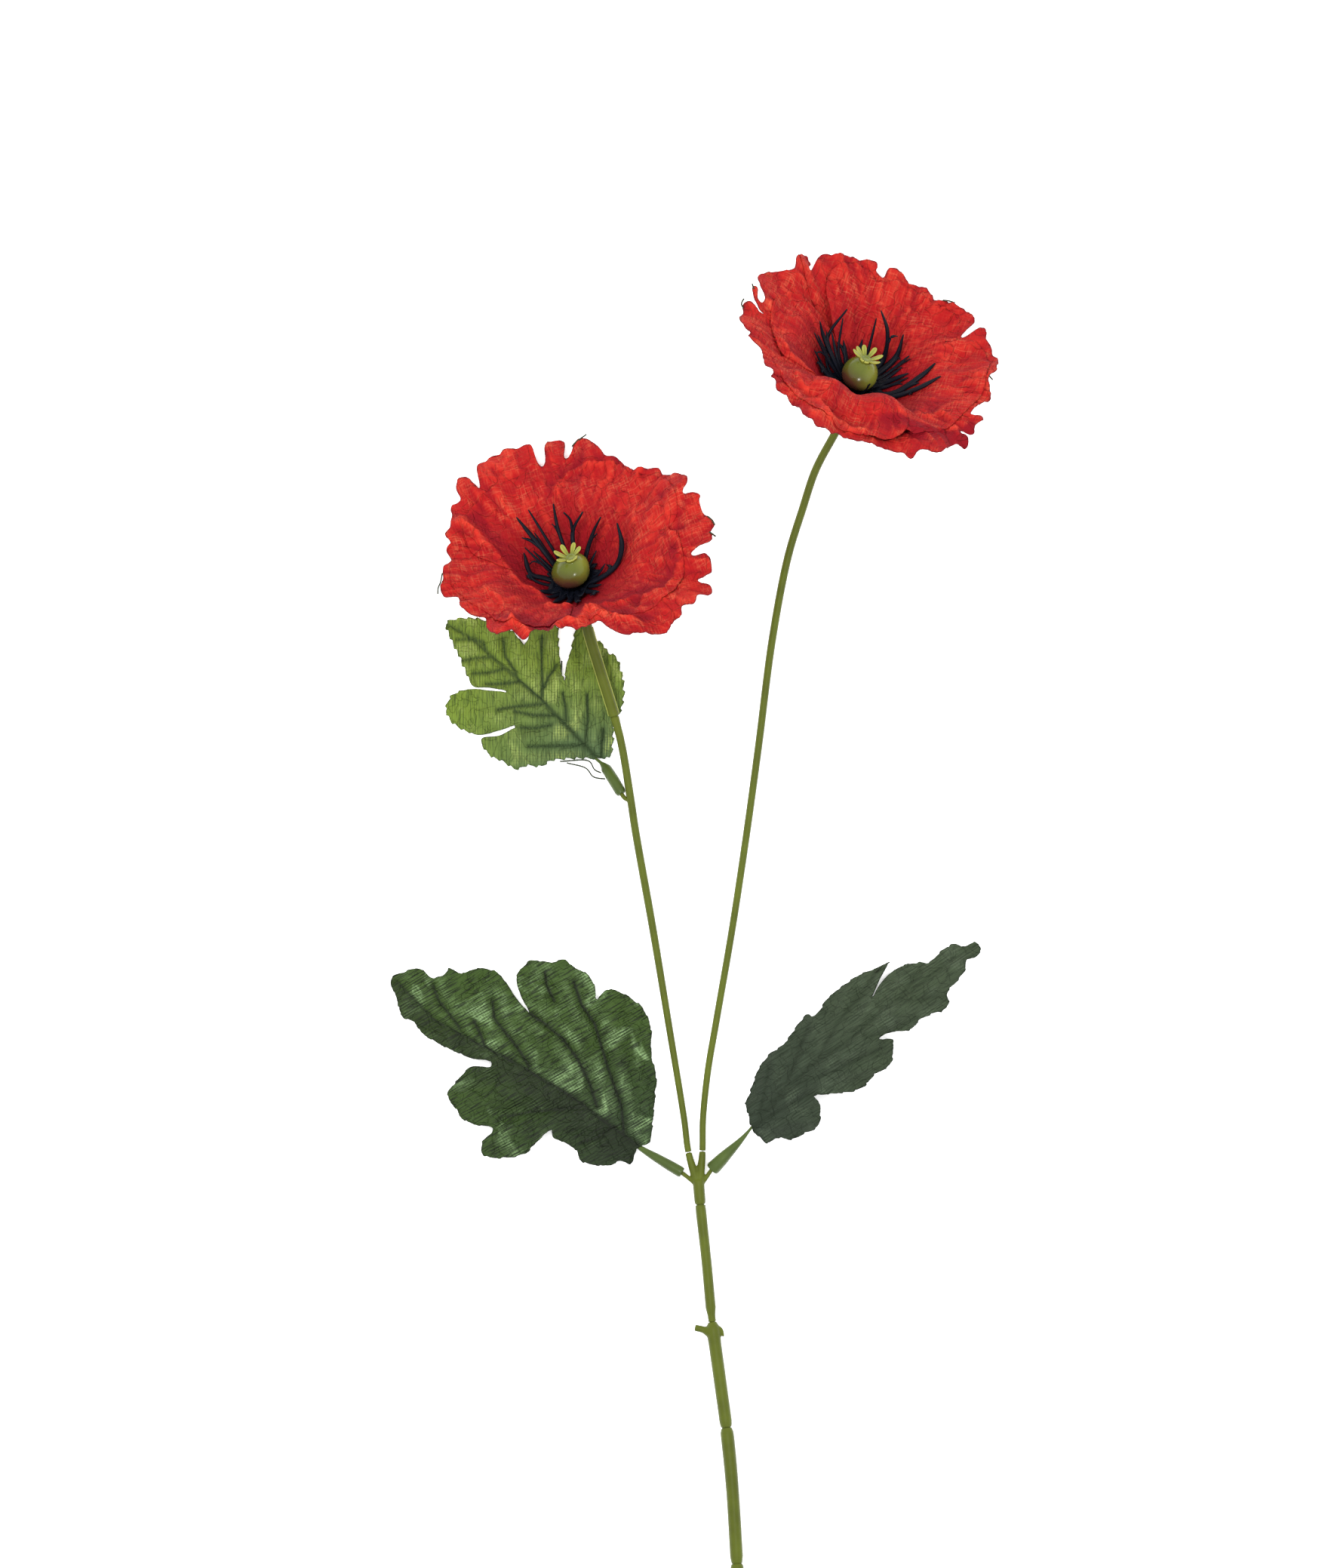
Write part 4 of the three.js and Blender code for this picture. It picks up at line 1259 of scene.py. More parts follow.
@dataclass
class Stamens:
    """A black ring and web round the pod's peg, with forked strands that rise and lean outwards."""

    strands: Sequence[Strand]
    floor: Callable[[float], float]
    wall: Callable[[float, float], float]
    clear: float = 1.5
    ring: Pair = (2.0, 5.9)
    web: float = 9.9
    root: Pair = (4.9, 5.4)
    sides: int = 9

    def build(self) -> Mesh:
        """Shapes the ring and its strands.

        Returns:
            The moulding in the flower's frame.
        """
        bm = bmesh.new()
        self.add_web(bm)
        for strand in self.strands:
            root = polar(self.root[0], strand.root_turn, self.root[1])
            route = Route([root, *(self.clear_place(*place) for place in strand.places)])
            self.add_strand(bm, route, strand.width, strand.tip)
            for share, tip in strand.forks:
                start = route.point(route.length * share)
                bend = start + route.tangent(route.length * share) * 3.0
                end = self.clear_place(*tip)
                fork = Route([start, bend + (end - bend) * 0.4, end])
                self.add_strand(bm, fork, strand.width * 0.7, strand.tip)
        return bm

    def clear_place(self, radius: float, angle: float, height: float) -> Vector:
        """Returns a place of a strand, kept clear of the petals."""
        return polar(radius, angle, max(height, self.wall(radius, angle) + self.clear))

    def add_web(self, bm: Mesh) -> None:
        """Adds the ring with the ragged web that the strands grow from.

        Args:
            bm: mesh that it goes into.
        """
        inner, outer = self.ring
        middle = (outer + self.web) / 2
        low, foot, mid, top = (self.floor(radius) for radius in (inner, outer, middle, self.web))
        profile = (
            (inner, low), (outer, foot + 0.1), (middle, mid + 0.5), (self.web, top + 0.7),
            (self.web + 0.1, top + 1.1), (middle, mid + 1.5), (outer, foot + 1.5), (inner, foot + 1.6),
        )
        for vert in add_turned(bm, profile, 72, closed=True):
            radius, angle = vert.co.xy.length, math.atan2(vert.co.y, vert.co.x)
            notch = 0.5 + 0.5 * math.sin(11 * angle + 2.5 * math.sin(3 * angle))
            vert.co.xy *= 1 - 0.3 * notch * smooth(radius, inner + 2, self.web)

    def add_strand(self, bm: Mesh, route: Route, width: float, tip: float) -> None:
        """Adds one tapered strand.

        Args:
            bm: mesh that it goes into.
            route: its middle, from the root to the tip.
            width: its width at the root.
            tip: its width just before the tip.
        """
        length, half = route.length, width / 2
        stations = (
            (0.0, 0.0), (0.05, half), (length * 0.4, half * 0.95), (length * 0.76, half * 0.78),
            (length - 1.0, blend(half * 0.5, tip / 2, 0.6)), (length - 0.15, tip / 2.4), (length, 0.0),
        )
        add_rod(bm, route, stations, self.sides, step=1.3, flat=0.7, hint=Vector((0.3, 0.2, 1)))


def add_turned(bm: Mesh, profile: Line, steps: int, *, closed: bool = False) -> list[Vert]:
    """Spins a profile round Z.

    Args:
        bm: mesh that it goes into.
        profile: radius and height of each point.
        steps: faces round it.
        closed: whether the last point joins the first, as in a ring.

    Returns:
        The turned vertices.
    """
    before = set(bm.verts)
    verts = [bm.verts.new((radius, 0.0, height)) for radius, height in profile]
    ring = [*verts, verts[0]] if closed else verts
    edges = [bm.edges.new(pair) for pair in zip(ring, ring[1:])]
    swept = [*verts, *edges]
    middle, up = (0, 0, 0), (0, 0, 1)
    bmesh.ops.spin(bm, geom=swept, cent=middle, axis=up, steps=steps, angle=2 * math.pi, use_merge=True)
    made = [v for v in bm.verts if v not in before]
    close_up(bm, made)
    return [v for v in bm.verts if v not in before]


@dataclass
class Pod:
    """The green seed pod: a peg, a round body with a mould seam and a crown of spoon-shaped rays."""

    rays: Line  # angle and length
    wash_turn: float
    crown_shift: Pair
    radius: float = 6.3
    middle: float = 11.0
    crown: float = 16.6
    ray_root: float = 1.0
    ray_width: float = 2.3
    ray_thickness: float = 0.8
    ray_rise: float = 20.0
    ray_curl: float = 0.035
    ray_blunt: float = 0.8  # how blunt its end is: 1 is round
    ray_waist: float = 0.26  # how much narrower it is at the root than in its middle
    groove: Pair = (0.4, 0.45)  # width and depth of its groove, in shares
    peg: Pair = (1.6, -3.2)  # radius and lower end
    cap: Line = ((2.1, 0.2), (1.7, 0.7), (0.8, 0.6), (0.0, 0.4))  # radius and height over the crown
    cap_tone: float = 0.12  # how pale the middle of the crown is
    cap_rise: float = 0.3  # height of its edge
    cap_fade: float = 2.4  # how far down the paler plastic reaches
    painted_light_tone: float = 0.35  # painted light on the side across from the wash
    painted_light_span: Pair = (110, 90)  # degrees from the wash of the painted light, and its width
    wash_width: float = 110
    wash_fade: Pair = (5, 6)  # how far over the middle it ends, and over what height it fades
    seam_turn: float = 75  # degrees from the wash
    seam_width: Pair = (2.5, 4)  # of the ridge and of its paler line
    seam_tone: float = 0.3
    seam_rise: float = 0.02
    least: float = 1.9  # radius of the body at its two ends
    rows: int = 22
    steps: int = 64

    def build(self) -> Mesh:
        """Shapes the pod.

        Returns:
            The moulding in the flower's frame.
        """
        bm = bmesh.new()
        crown, wash = (bm.verts.layers.float.new(n) for n in (DEPTH, EDGE))
        peg, low = self.peg
        tall = self.crown - self.cap_rise - self.middle
        profile = [(0.0, low), (peg, low), (peg, self.middle - tall)]
        for k in range(1, self.rows):
            turn = math.pi * (k / self.rows - 0.5)
            around = max(self.radius * math.cos(turn), self.least)
            profile.append((around, self.middle + tall * math.sin(turn)))
        profile += [(radius, self.crown + height) for radius, height in self.cap]
        washed = Bump(self.wash_turn, self.wash_width, 1.0)
        lit = Bump(self.wash_turn + self.painted_light_span[0], self.painted_light_span[1], self.painted_light_tone)
        ridge_width, pale_width = self.seam_width
        wash_top, wash_depth = self.wash_fade
        for vert in add_turned(bm, profile, self.steps):
            angle = math.degrees(math.atan2(vert.co.y, vert.co.x))
            seam = abs((angle - self.wash_turn - self.seam_turn + 180) % 360 - 180)
            if abs(vert.co.z - self.middle) < tall:
                vert.co.xy *= 1 + self.seam_rise * math.exp(-((seam / ridge_width) ** 2))
            pale_seam = self.seam_tone * math.exp(-((seam / pale_width) ** 2))
            pale_seam *= smooth(self.middle + 3 - vert.co.z, 0, 3)
            edge = self.crown + self.cap_rise
            cap = self.cap_tone * smooth(vert.co.z, self.crown - self.cap_fade, edge)
            # paler crown and seam, and painted light on the side across from the wash
            vert[crown] = max(cap, pale_seam, lit.at(angle))
            vert[wash] = washed.at(angle) * smooth(self.middle + wash_top - vert.co.z, 0, wash_depth)
        for turn, length in self.rays:
            self.add_ray(bm, turn, length, crown)
        for vert in bm.verts:
            share = max(0.0, (vert.co.z - self.middle) / (self.crown - self.middle))
            vert.co.xy += Vector(self.crown_shift) * share
        return bm

    def add_ray(self, bm: Mesh, turn: float, length: float, crown: bmesh.types.BMLayerItem) -> None:
        """Adds one ray: narrow at its root, wide and rounded at its end, with a groove and a raised rim.

        Args:
            bm: mesh that it goes into.
            turn: angle that it points to.
            length: how far it reaches from the crown's middle.
            crown: layer that says how pale the plastic is, with painted shade in the groove.
        """
        made = bmesh.ops.create_uvsphere(bm, u_segments=20, v_segments=12, radius=1.0)["verts"]
        half = (length - self.ray_root) / 2
        rise = math.radians(self.ray_rise)
        narrow, deep = self.groove
        for vert in made:
            along, across, up = vert.co
            blunt = math.copysign(abs(along) ** self.ray_blunt, along)
            wide = self.ray_width / 2 * (1 - self.ray_waist + self.ray_waist * blunt)
            groove = math.exp(-((across / narrow) ** 2)) * (1 - smooth(along, 0.6, 1.0)) if up > 0 else 0.0
            thick = self.ray_thickness / 2 * (up - deep * groove * up)
            away = half * (1 + blunt)
            out = self.ray_root + away * math.cos(rise) - thick * math.sin(rise)
            height = self.crown + self.cap_rise + away * math.sin(rise) + thick * math.cos(rise)
            height += self.ray_curl * away**2
            vert.co = Matrix.Rotation(math.radians(turn), 3, "Z") @ Vector((out, wide * across, height))
            # paler towards the end, with painted shade in the groove
            vert[crown] = clamp(0.55 + 0.45 * smooth(along, -0.6, 0.4) - 0.4 * groove)


@dataclass
class Bloom:
    """One flower: two layers of petals, its stamens, its pod and its calyx."""

    side: Side
    pose: Pose
    bowl: Bowl
    folds: Sequence[Fold]
    turn: float
    cut: Line
    inner_petals: Sequence[Petal]
    strands: Sequence[Strand]
    pod_radius: float
    rays: Line
    crown_shift: Pair
    wash_turn: float
    threads: Sequence[Line]
    seed: float
    rim_tone: float = 0.8
    inner_rim_tone: float = 0.12
    cloth: float = 0.85
    calyx_length: float = 7.0

    def hub_height(self, radius: float) -> float:
        """Returns the height that the ring of the stamens stands on at a radius."""
        return self.bowl.inner(radius, 0.0) + self.cloth / 2 + FIT

    def build(
        self, cloth: Material, black: Material, pod: Material, stem: Material, thread: Material
    ) -> list[Object]:
        """Makes the flower's pieces.

        Args:
            cloth: finish of the petals.
            black: finish of the stamens.
            pod: finish of the pod.
            stem: finish of the calyx.
            thread: finish of the frayed threads.

        Returns:
            The pieces.
        """
        pose = self.pose.matrix()
        side = self.side.value
        outer = shared_petals(self.cut, self.turn)
        made = []
        for layer_name, petals, height, tone in (
            ("outer_petals", outer, self.bowl.outer, self.rim_tone),
            ("inner_petals", self.inner_petals, self.bowl.inner, self.inner_rim_tone),
        ):
            layer = PetalLayer(petals, height, self.folds, Crepe(self.seed), tone)
            name = f"{layer_name}_cloth_{side}"
            piece = make_piece(name, layer.build(pose), cloth, [f"{layer_name}_{side}"])
            made.append(add_cloth(piece, layer.cloth))
        stamens = Stamens(self.strands, self.hub_height, self.bowl.inner)
        seed_pod = Pod(self.rays, self.wash_turn, self.crown_shift, radius=self.pod_radius)
        for name, bm, finish, slot, node in (
            ("stamen_strands", stamens.build(), black, Slot.STAMEN, "stamens"),
            ("seed_pod", seed_pod.build(), pod, Slot.POD, "pod"),
            ("calyx_cup", self.calyx(), stem, Slot.STEM, "calyx"),
        ):
            bmesh.ops.transform(bm, matrix=pose, verts=bm.verts)
            made.append(make_piece(f"{name}_{side}", bm, finish, [f"{node}_{side}"]))
        height = self.bowl.outer
        paths = [[pose @ polar(r, a, height(r, a) + 0.3) for r, a in line] for line in self.threads]
        made.append(LooseThreads(f"frayed_threads_petals_{side}", paths).build(thread, Slot.PETAL))
        return made

    def calyx(self) -> Mesh:
        """Shapes the small cup under the flower.

        Returns:
            The cup in the flower's frame.
        """
        bm = bmesh.new()
        top, low = -self.cloth / 2 - FIT, -self.calyx_length
        profile = (
            (1.7, low), (2.5, low), (2.75, low + 0.3), (3.1, low * 0.6), (3.7, -2.7), (4.4, -1.8),
            (4.6, -1.4), (4.6, top - 0.15), (4.4, top), (2.0, top), (1.7, top - 2.5),
        )
        add_turned(bm, profile, 32, closed=True)
        return bm


LEFT_BLOOM = Bloom(
    side=Side.LEFT,
    pose=Pose((-40.3, 130.6, 15.305), 109, 44),
    bowl=Bowl(droops=(Bump(312, 50, 12),), lifts=(Bump(60, 90, 3.5), Bump(190, 60, 3))),
    folds=(
        Fold(
            ((-30, 26), (-27.4, 21.4), (-24.1, 15.1), (-20.3, 6.6), (-19.4, 1.2), (-17.7, -1.5),
             (-14.6, -2.6), (-13, -5), (-12, -9), (-9.5, -16), (-4, -22)), 3.2, 1.7, 1.1, 0.6,
        ),
        Fold(((-28.9, -6.5), (-26.1, -15), (-24.1, -28.8)), 2, 2, 0.6),
        Fold(
            ((-24, -29.5), (-20, -36), (-14.4, -41), (-11, -42), (-8, -37), (-4, -39), (-1, -34),
             (2.7, -28.5), (5, -36), (10.6, -41), (16, -43)), 3.8, 1.7, 1.4, 0.9,
        ),
        Fold(((4.9, -28.9), (12.2, -25.6), (17.2, -26), (19.9, -26.7), (23.8, -30.5), (27.3, -33.7)),
             1.6, 1.3, 0.9, 0.4),
        Fold(((20.2, -26.9), (17.7, -34.6), (15.1, -41.8)), 1.5, 1.2),
        Fold(((34, 23), (32.4, 20.2), (31.9, 15.2), (28.5, 9.1), (25.9, 2.6))),
        Fold(((42, 17), (40.6, 15.1), (34.3, 4.6), (31.6, -0.5))),
        Fold(((26.1, 28.7), (24.2, 24.2), (19.9, 23.7), (17.7, 21)), 0.6, 0.8, 0.7),
        Fold(((-18.9, 34.3), (-12.4, 34.8), (-8.2, 33.1), (-3, 33.1), (1.6, 34)), 0.4, 0.7, 0.4),
        Fold(((-13.8, 30.5), (-8.2, 30.9), (-3.2, 28.8), (1.8, 28.6), (4.6, 27.2)), 0.4, 0.7, 0.4),
        Fold(((-8.2, 35.4), (-3.8, 31.3), (1, 30.7), (4.6, 29.2)), 0.3, 0.6, 0.4),
        Fold(((17.2, 30.2), (19.2, 22.2)), 0.4, 0.8, 0.4),
        Fold(((-17.9, 31.8), (-20.9, 28.6)), 0.5, 0.8, 0.5),
        Fold(((-15.3, 31.8), (-19.2, 27.5)), 0.5, 0.8, 0.5),
        Fold(((-14.1, 31.7), (-13.4, 26.7)), 0.5, 0.8, 0.5),
        Fold(((33.6, 18.9), (31.6, 14.2)), -0.7, 1, -0.9),
        Fold(((37.3, 8.5), (37.2, -0.9), (37.3, -5.1), (38.9, -8.7)), -0.7, 0.8, -0.9),
        Fold(((44.5, -1.4), (41.7, -4.1), (40.8, -10)), -0.6, 1.2, -0.7),
        Fold(((30, -9.5), (33.4, -10.2), (34, -15.2), (30.4, -16.4), (28.3, -14.2)), 0.4, 0.6, 0.8),
        Fold(((-13.2, 43), (-13.4, 38.9)), -0.5, 1, -0.7),
        Fold(((-8, 45.9), (-8, 38.3)), -0.5, 1, -0.7),
        Fold(((-4.1, 45.5), (-3.9, 40.6)), -0.5, 1, -0.7),
        Fold(((20.2, 37.6), (20.4, 33.3), (22.1, 28.9)), 0.4, 0.8, 0.4),
        Fold(((24.6, 18.3), (21.5, 15.9), (20.4, 11.2)), -0.4, 1.2, -0.6),
        Fold(((35.6, -21.4), (32.4, -24.4), (28.3, -29.8), (21.3, -28.7)), 1.6, 1.5, 0.8, 0.5),
        Fold(((-25.1, 8.7), (-24.7, 5.7), (-21, 4.9)), 0.4, 0.8, 0.4),
        Fold(((44, 0), (38, -2.4), (36.8, -8.2), (38.7, -15.9))),
        Fold(((-20.5, 34.6), (-17.4, 33.8), (-14, 32.9), (-9.6, 31.5)), 0.9, 1),
        Fold(
            ((3.9, 25.6), (4.4, 27.5), (5.8, 29.8), (7.9, 31.8),
             (11.1, 33.1), (15.8, 32.3), (21, 31.2), (25.8, 29)), 0.9, 0.8, 0.9, -0.45, 4,
        ),
    ),
    turn=-13,
    cut=(
        (64.9, 45.7), (56.8, 42.5), (52.8, 40.6), (50.1, 41.4), (48, 41.4), (35.7, 38.7), (25.4, 43.8),
        (23.5, 44.1), (19.3, 43.5), (16.1, 45.8), (9, 48.8), (7, 48.8), (5.2, 48.1), (1.5, 45.3),
        (0.3, 48.8), (358.5, 50.6), (356.6, 49.8), (351.7, 50.1), (350, 51.7), (345.7, 53.5), (342.5, 52.4),
        (341.3, 52.7), (340, 53.9), (340.7, 53), (338.2, 52.9), (336.3, 48.4), (334, 45.6), (333.5, 46.7),
        (334.3, 50.9), (333.1, 52.4), (329.7, 53.3), (328.7, 53.1), (325.1, 49.2), (324.3, 50), (324.2, 53),
        (323.5, 54.4), (320.3, 56.7), (318.7, 57.1), (317.6, 56.5), (315.9, 54.1), (311.9, 55.6),
        (310.5, 55.5), (308.7, 51.4), (305.5, 53.3), (302.9, 51.6), (297.4, 52.6), (288.1, 50.3),
        (282.5, 50.6), (280.1, 48.7), (277.5, 44.2), (275.9, 40.1), (271.2, 39.5), (270.5, 40.7),
        (267.5, 42.3), (266.8, 42), (264, 43.4), (261, 41.6), (259.2, 41.7), (256.8, 43.4), (254.1, 42.9),
        (251.6, 42.1), (251.1, 42.6), (249.7, 41.3), (244.1, 39.1), (242.7, 39.7), (241.8, 42.7),
        (239.9, 43.9), (238.1, 44.2), (232.3, 41.9), (229.1, 44.9), (226.4, 45.7), (222.5, 44.7),
        (219.5, 43.2), (213.2, 39.1), (212.4, 39.2), (209.2, 41.9), (205, 42.5), (201.3, 42.5),
        (190.9, 40.3), (187.8, 43.8), (186.3, 44.3), (181.9, 44.2), (176.9, 42), (174, 41.9), (170, 40.9),
        (164.8, 38.9), (158, 41), (153.3, 40.1), (151.5, 41.7), (150.2, 42.2), (146.2, 41.5), (141.3, 42.4),
        (137.2, 43.9), (134.1, 46.1), (132, 46.7), (127.8, 45.4), (124.8, 49), (121.7, 50), (119.9, 48.7),
        (119.1, 47.3), (119.6, 42.2), (119.2, 41.6), (112.5, 48.8), (110.4, 49.7), (108.1, 49.3),
        (105.3, 51.1), (103.6, 51.1), (101.6, 50.1), (99, 50.4), (94.9, 47.8), (90.4, 47.6), (89.1, 47.2),
        (88.4, 46.2), (87.7, 39.4), (86.5, 38.6), (85.3, 39), (84.2, 40.2), (83.1, 46.7), (82.2, 48),
        (81, 48.6), (77, 49.4), (75.3, 48.4), (74.5, 45.7), (74.8, 41.1), (73.3, 39.9), (71.1, 41.5),
        (70.2, 45), (69.5, 45.8),
    ),
    inner_petals=(
        drawn_petal(28, (
            (348, 14), (346, 26), (348, 36), (354, 41), (363, 43), (372, 43), (382, 41.5), (390, 38.5),
            (396, 37), (402, 38.5), (409, 39), (416, 37.8), (424, 36.3), (432, 35.3), (436, 33),
            (439, 30.6), (441, 28), (443, 24), (446, 16),
        )),
        drawn_petal(118, (
            (70, 14), (72, 26), (76, 33), (81, 36), (88, 36.5), (96, 38), (104, 38.5), (113, 38.8),
            (121, 39), (130, 40), (140, 38.5), (148, 36), (156, 33), (162, 27), (168, 20), (174, 14),
        )),
        drawn_petal(208, (
            (152, 14), (150, 24), (150, 31), (154, 36), (160, 37.5), (170, 39), (182, 40), (192, 38.5),
            (200, 39), (212, 37), (222, 39), (232, 39), (242, 37), (250, 37.5), (256, 36), (260, 32),
            (262, 24), (264, 14),
        )),
        drawn_petal(298, (
            (246, 14), (246, 26), (250, 33), (258, 36.5), (268, 37), (276, 37), (284, 38), (294, 40),
            (304, 42), (312, 44), (322, 44), (330, 43.5), (338, 42), (345, 40), (350, 35), (352, 26),
            (354, 14),
        )),
    ),
    strands=(
        Strand(128, ((11, 124, 14), (22.5, 121, 25)), ((0.45, (18.5, 131, 20)),)),
        Strand(104, ((11, 108, 14), (21, 109, 26)), width=1.4),
        Strand(86, ((8.5, 86, 12), (14, 87, 19), (18.8, 84, 26)), ((0.5, (15.5, 93, 20)),), 1.6, 0.6),
        Strand(66, ((8, 66, 11), (13, 66, 17), (17, 51, 23)), ((0.62, (15.6, 74, 24)),), 1.8, 1),
        Strand(40, ((9, 40, 10), (15, 38, 16), (18.8, 32, 21)), ((0.4, (14.5, 28, 17)),), 1.8, 0.9),
        Strand(18, ((8, 24, 8), (12, 26, 11)), width=1.3),
        Strand(112, ((10, 118, 11), (17, 116, 19)), width=1.5),
        Strand(138, ((9, 136, 10), (14.5, 133, 15.5)), width=1.6),
        Strand(172, ((9.5, 172, 7), (13.5, 168, 9), (15, 158, 13)), width=1.4),
        Strand(210, ((9, 212, 6), (13.2, 214, 7)), ((0.5, (12.6, 206, 6.6)),), 1.8),
        Strand(318, ((12.8, 337, 8.5), (17, 344, 12), (19.9, 353, 18), (20.6, 5, 24)),
               ((0.3, (12.5, 352, 10)),)),
        Strand(160, ((10, 158, 8), (14, 160, 11), (15.8, 146, 18)), ((0.5, (14, 172, 9)),)),
        Strand(148, ((10.5, 143, 12), (16.5, 138, 18)), ((0.5, (14.6, 150, 13)),), 1.3),
        Strand(190, ((9, 194, 6.4), (13.4, 197, 7.2)),),
        Strand(228, ((9, 230, 6), (14.4, 231, 6)),),
        Strand(250, ((8.5, 251, 6), (15.4, 252, 5.6)), ((0.6, (14.2, 246, 6)),)),
        Strand(268, ((8.5, 266, 6), (15.6, 264, 6)), ((0.6, (14.6, 271, 6)),)),
        Strand(292, ((9, 294, 6.6), (14.5, 299, 7)), ((0.6, (12.8, 286, 6)),)),
        Strand(310, ((9, 312, 7), (12, 316, 8)), width=1.8),
        Strand(340, ((9, 342, 8), (12.4, 350, 11)), width=1.5),
    ),
    pod_radius=6.7,
    rays=((25, 4.6), (63, 5.2), (116, 5.8), (155, 6.5), (198, 6.2), (238, 2.8), (280, 2.4), (325, 2.6)),
    crown_shift=(1.5, 0.15),
    wash_turn=238,
    threads=(
        ((43.8, 70.9), (44.8, 69.5), (45.7, 66.4), (46.7, 63.9)),
        ((51.4, 349.6), (52.9, 347.4), (53.9, 344.7)), ((52.2, 341.5), (53.4, 340.4), (54.4, 339.5)),
        ((41.9, 175.8), (43.4, 180), (44.8, 182.1), (45.7, 184.7)),
    ),
    seed=1.7,
)

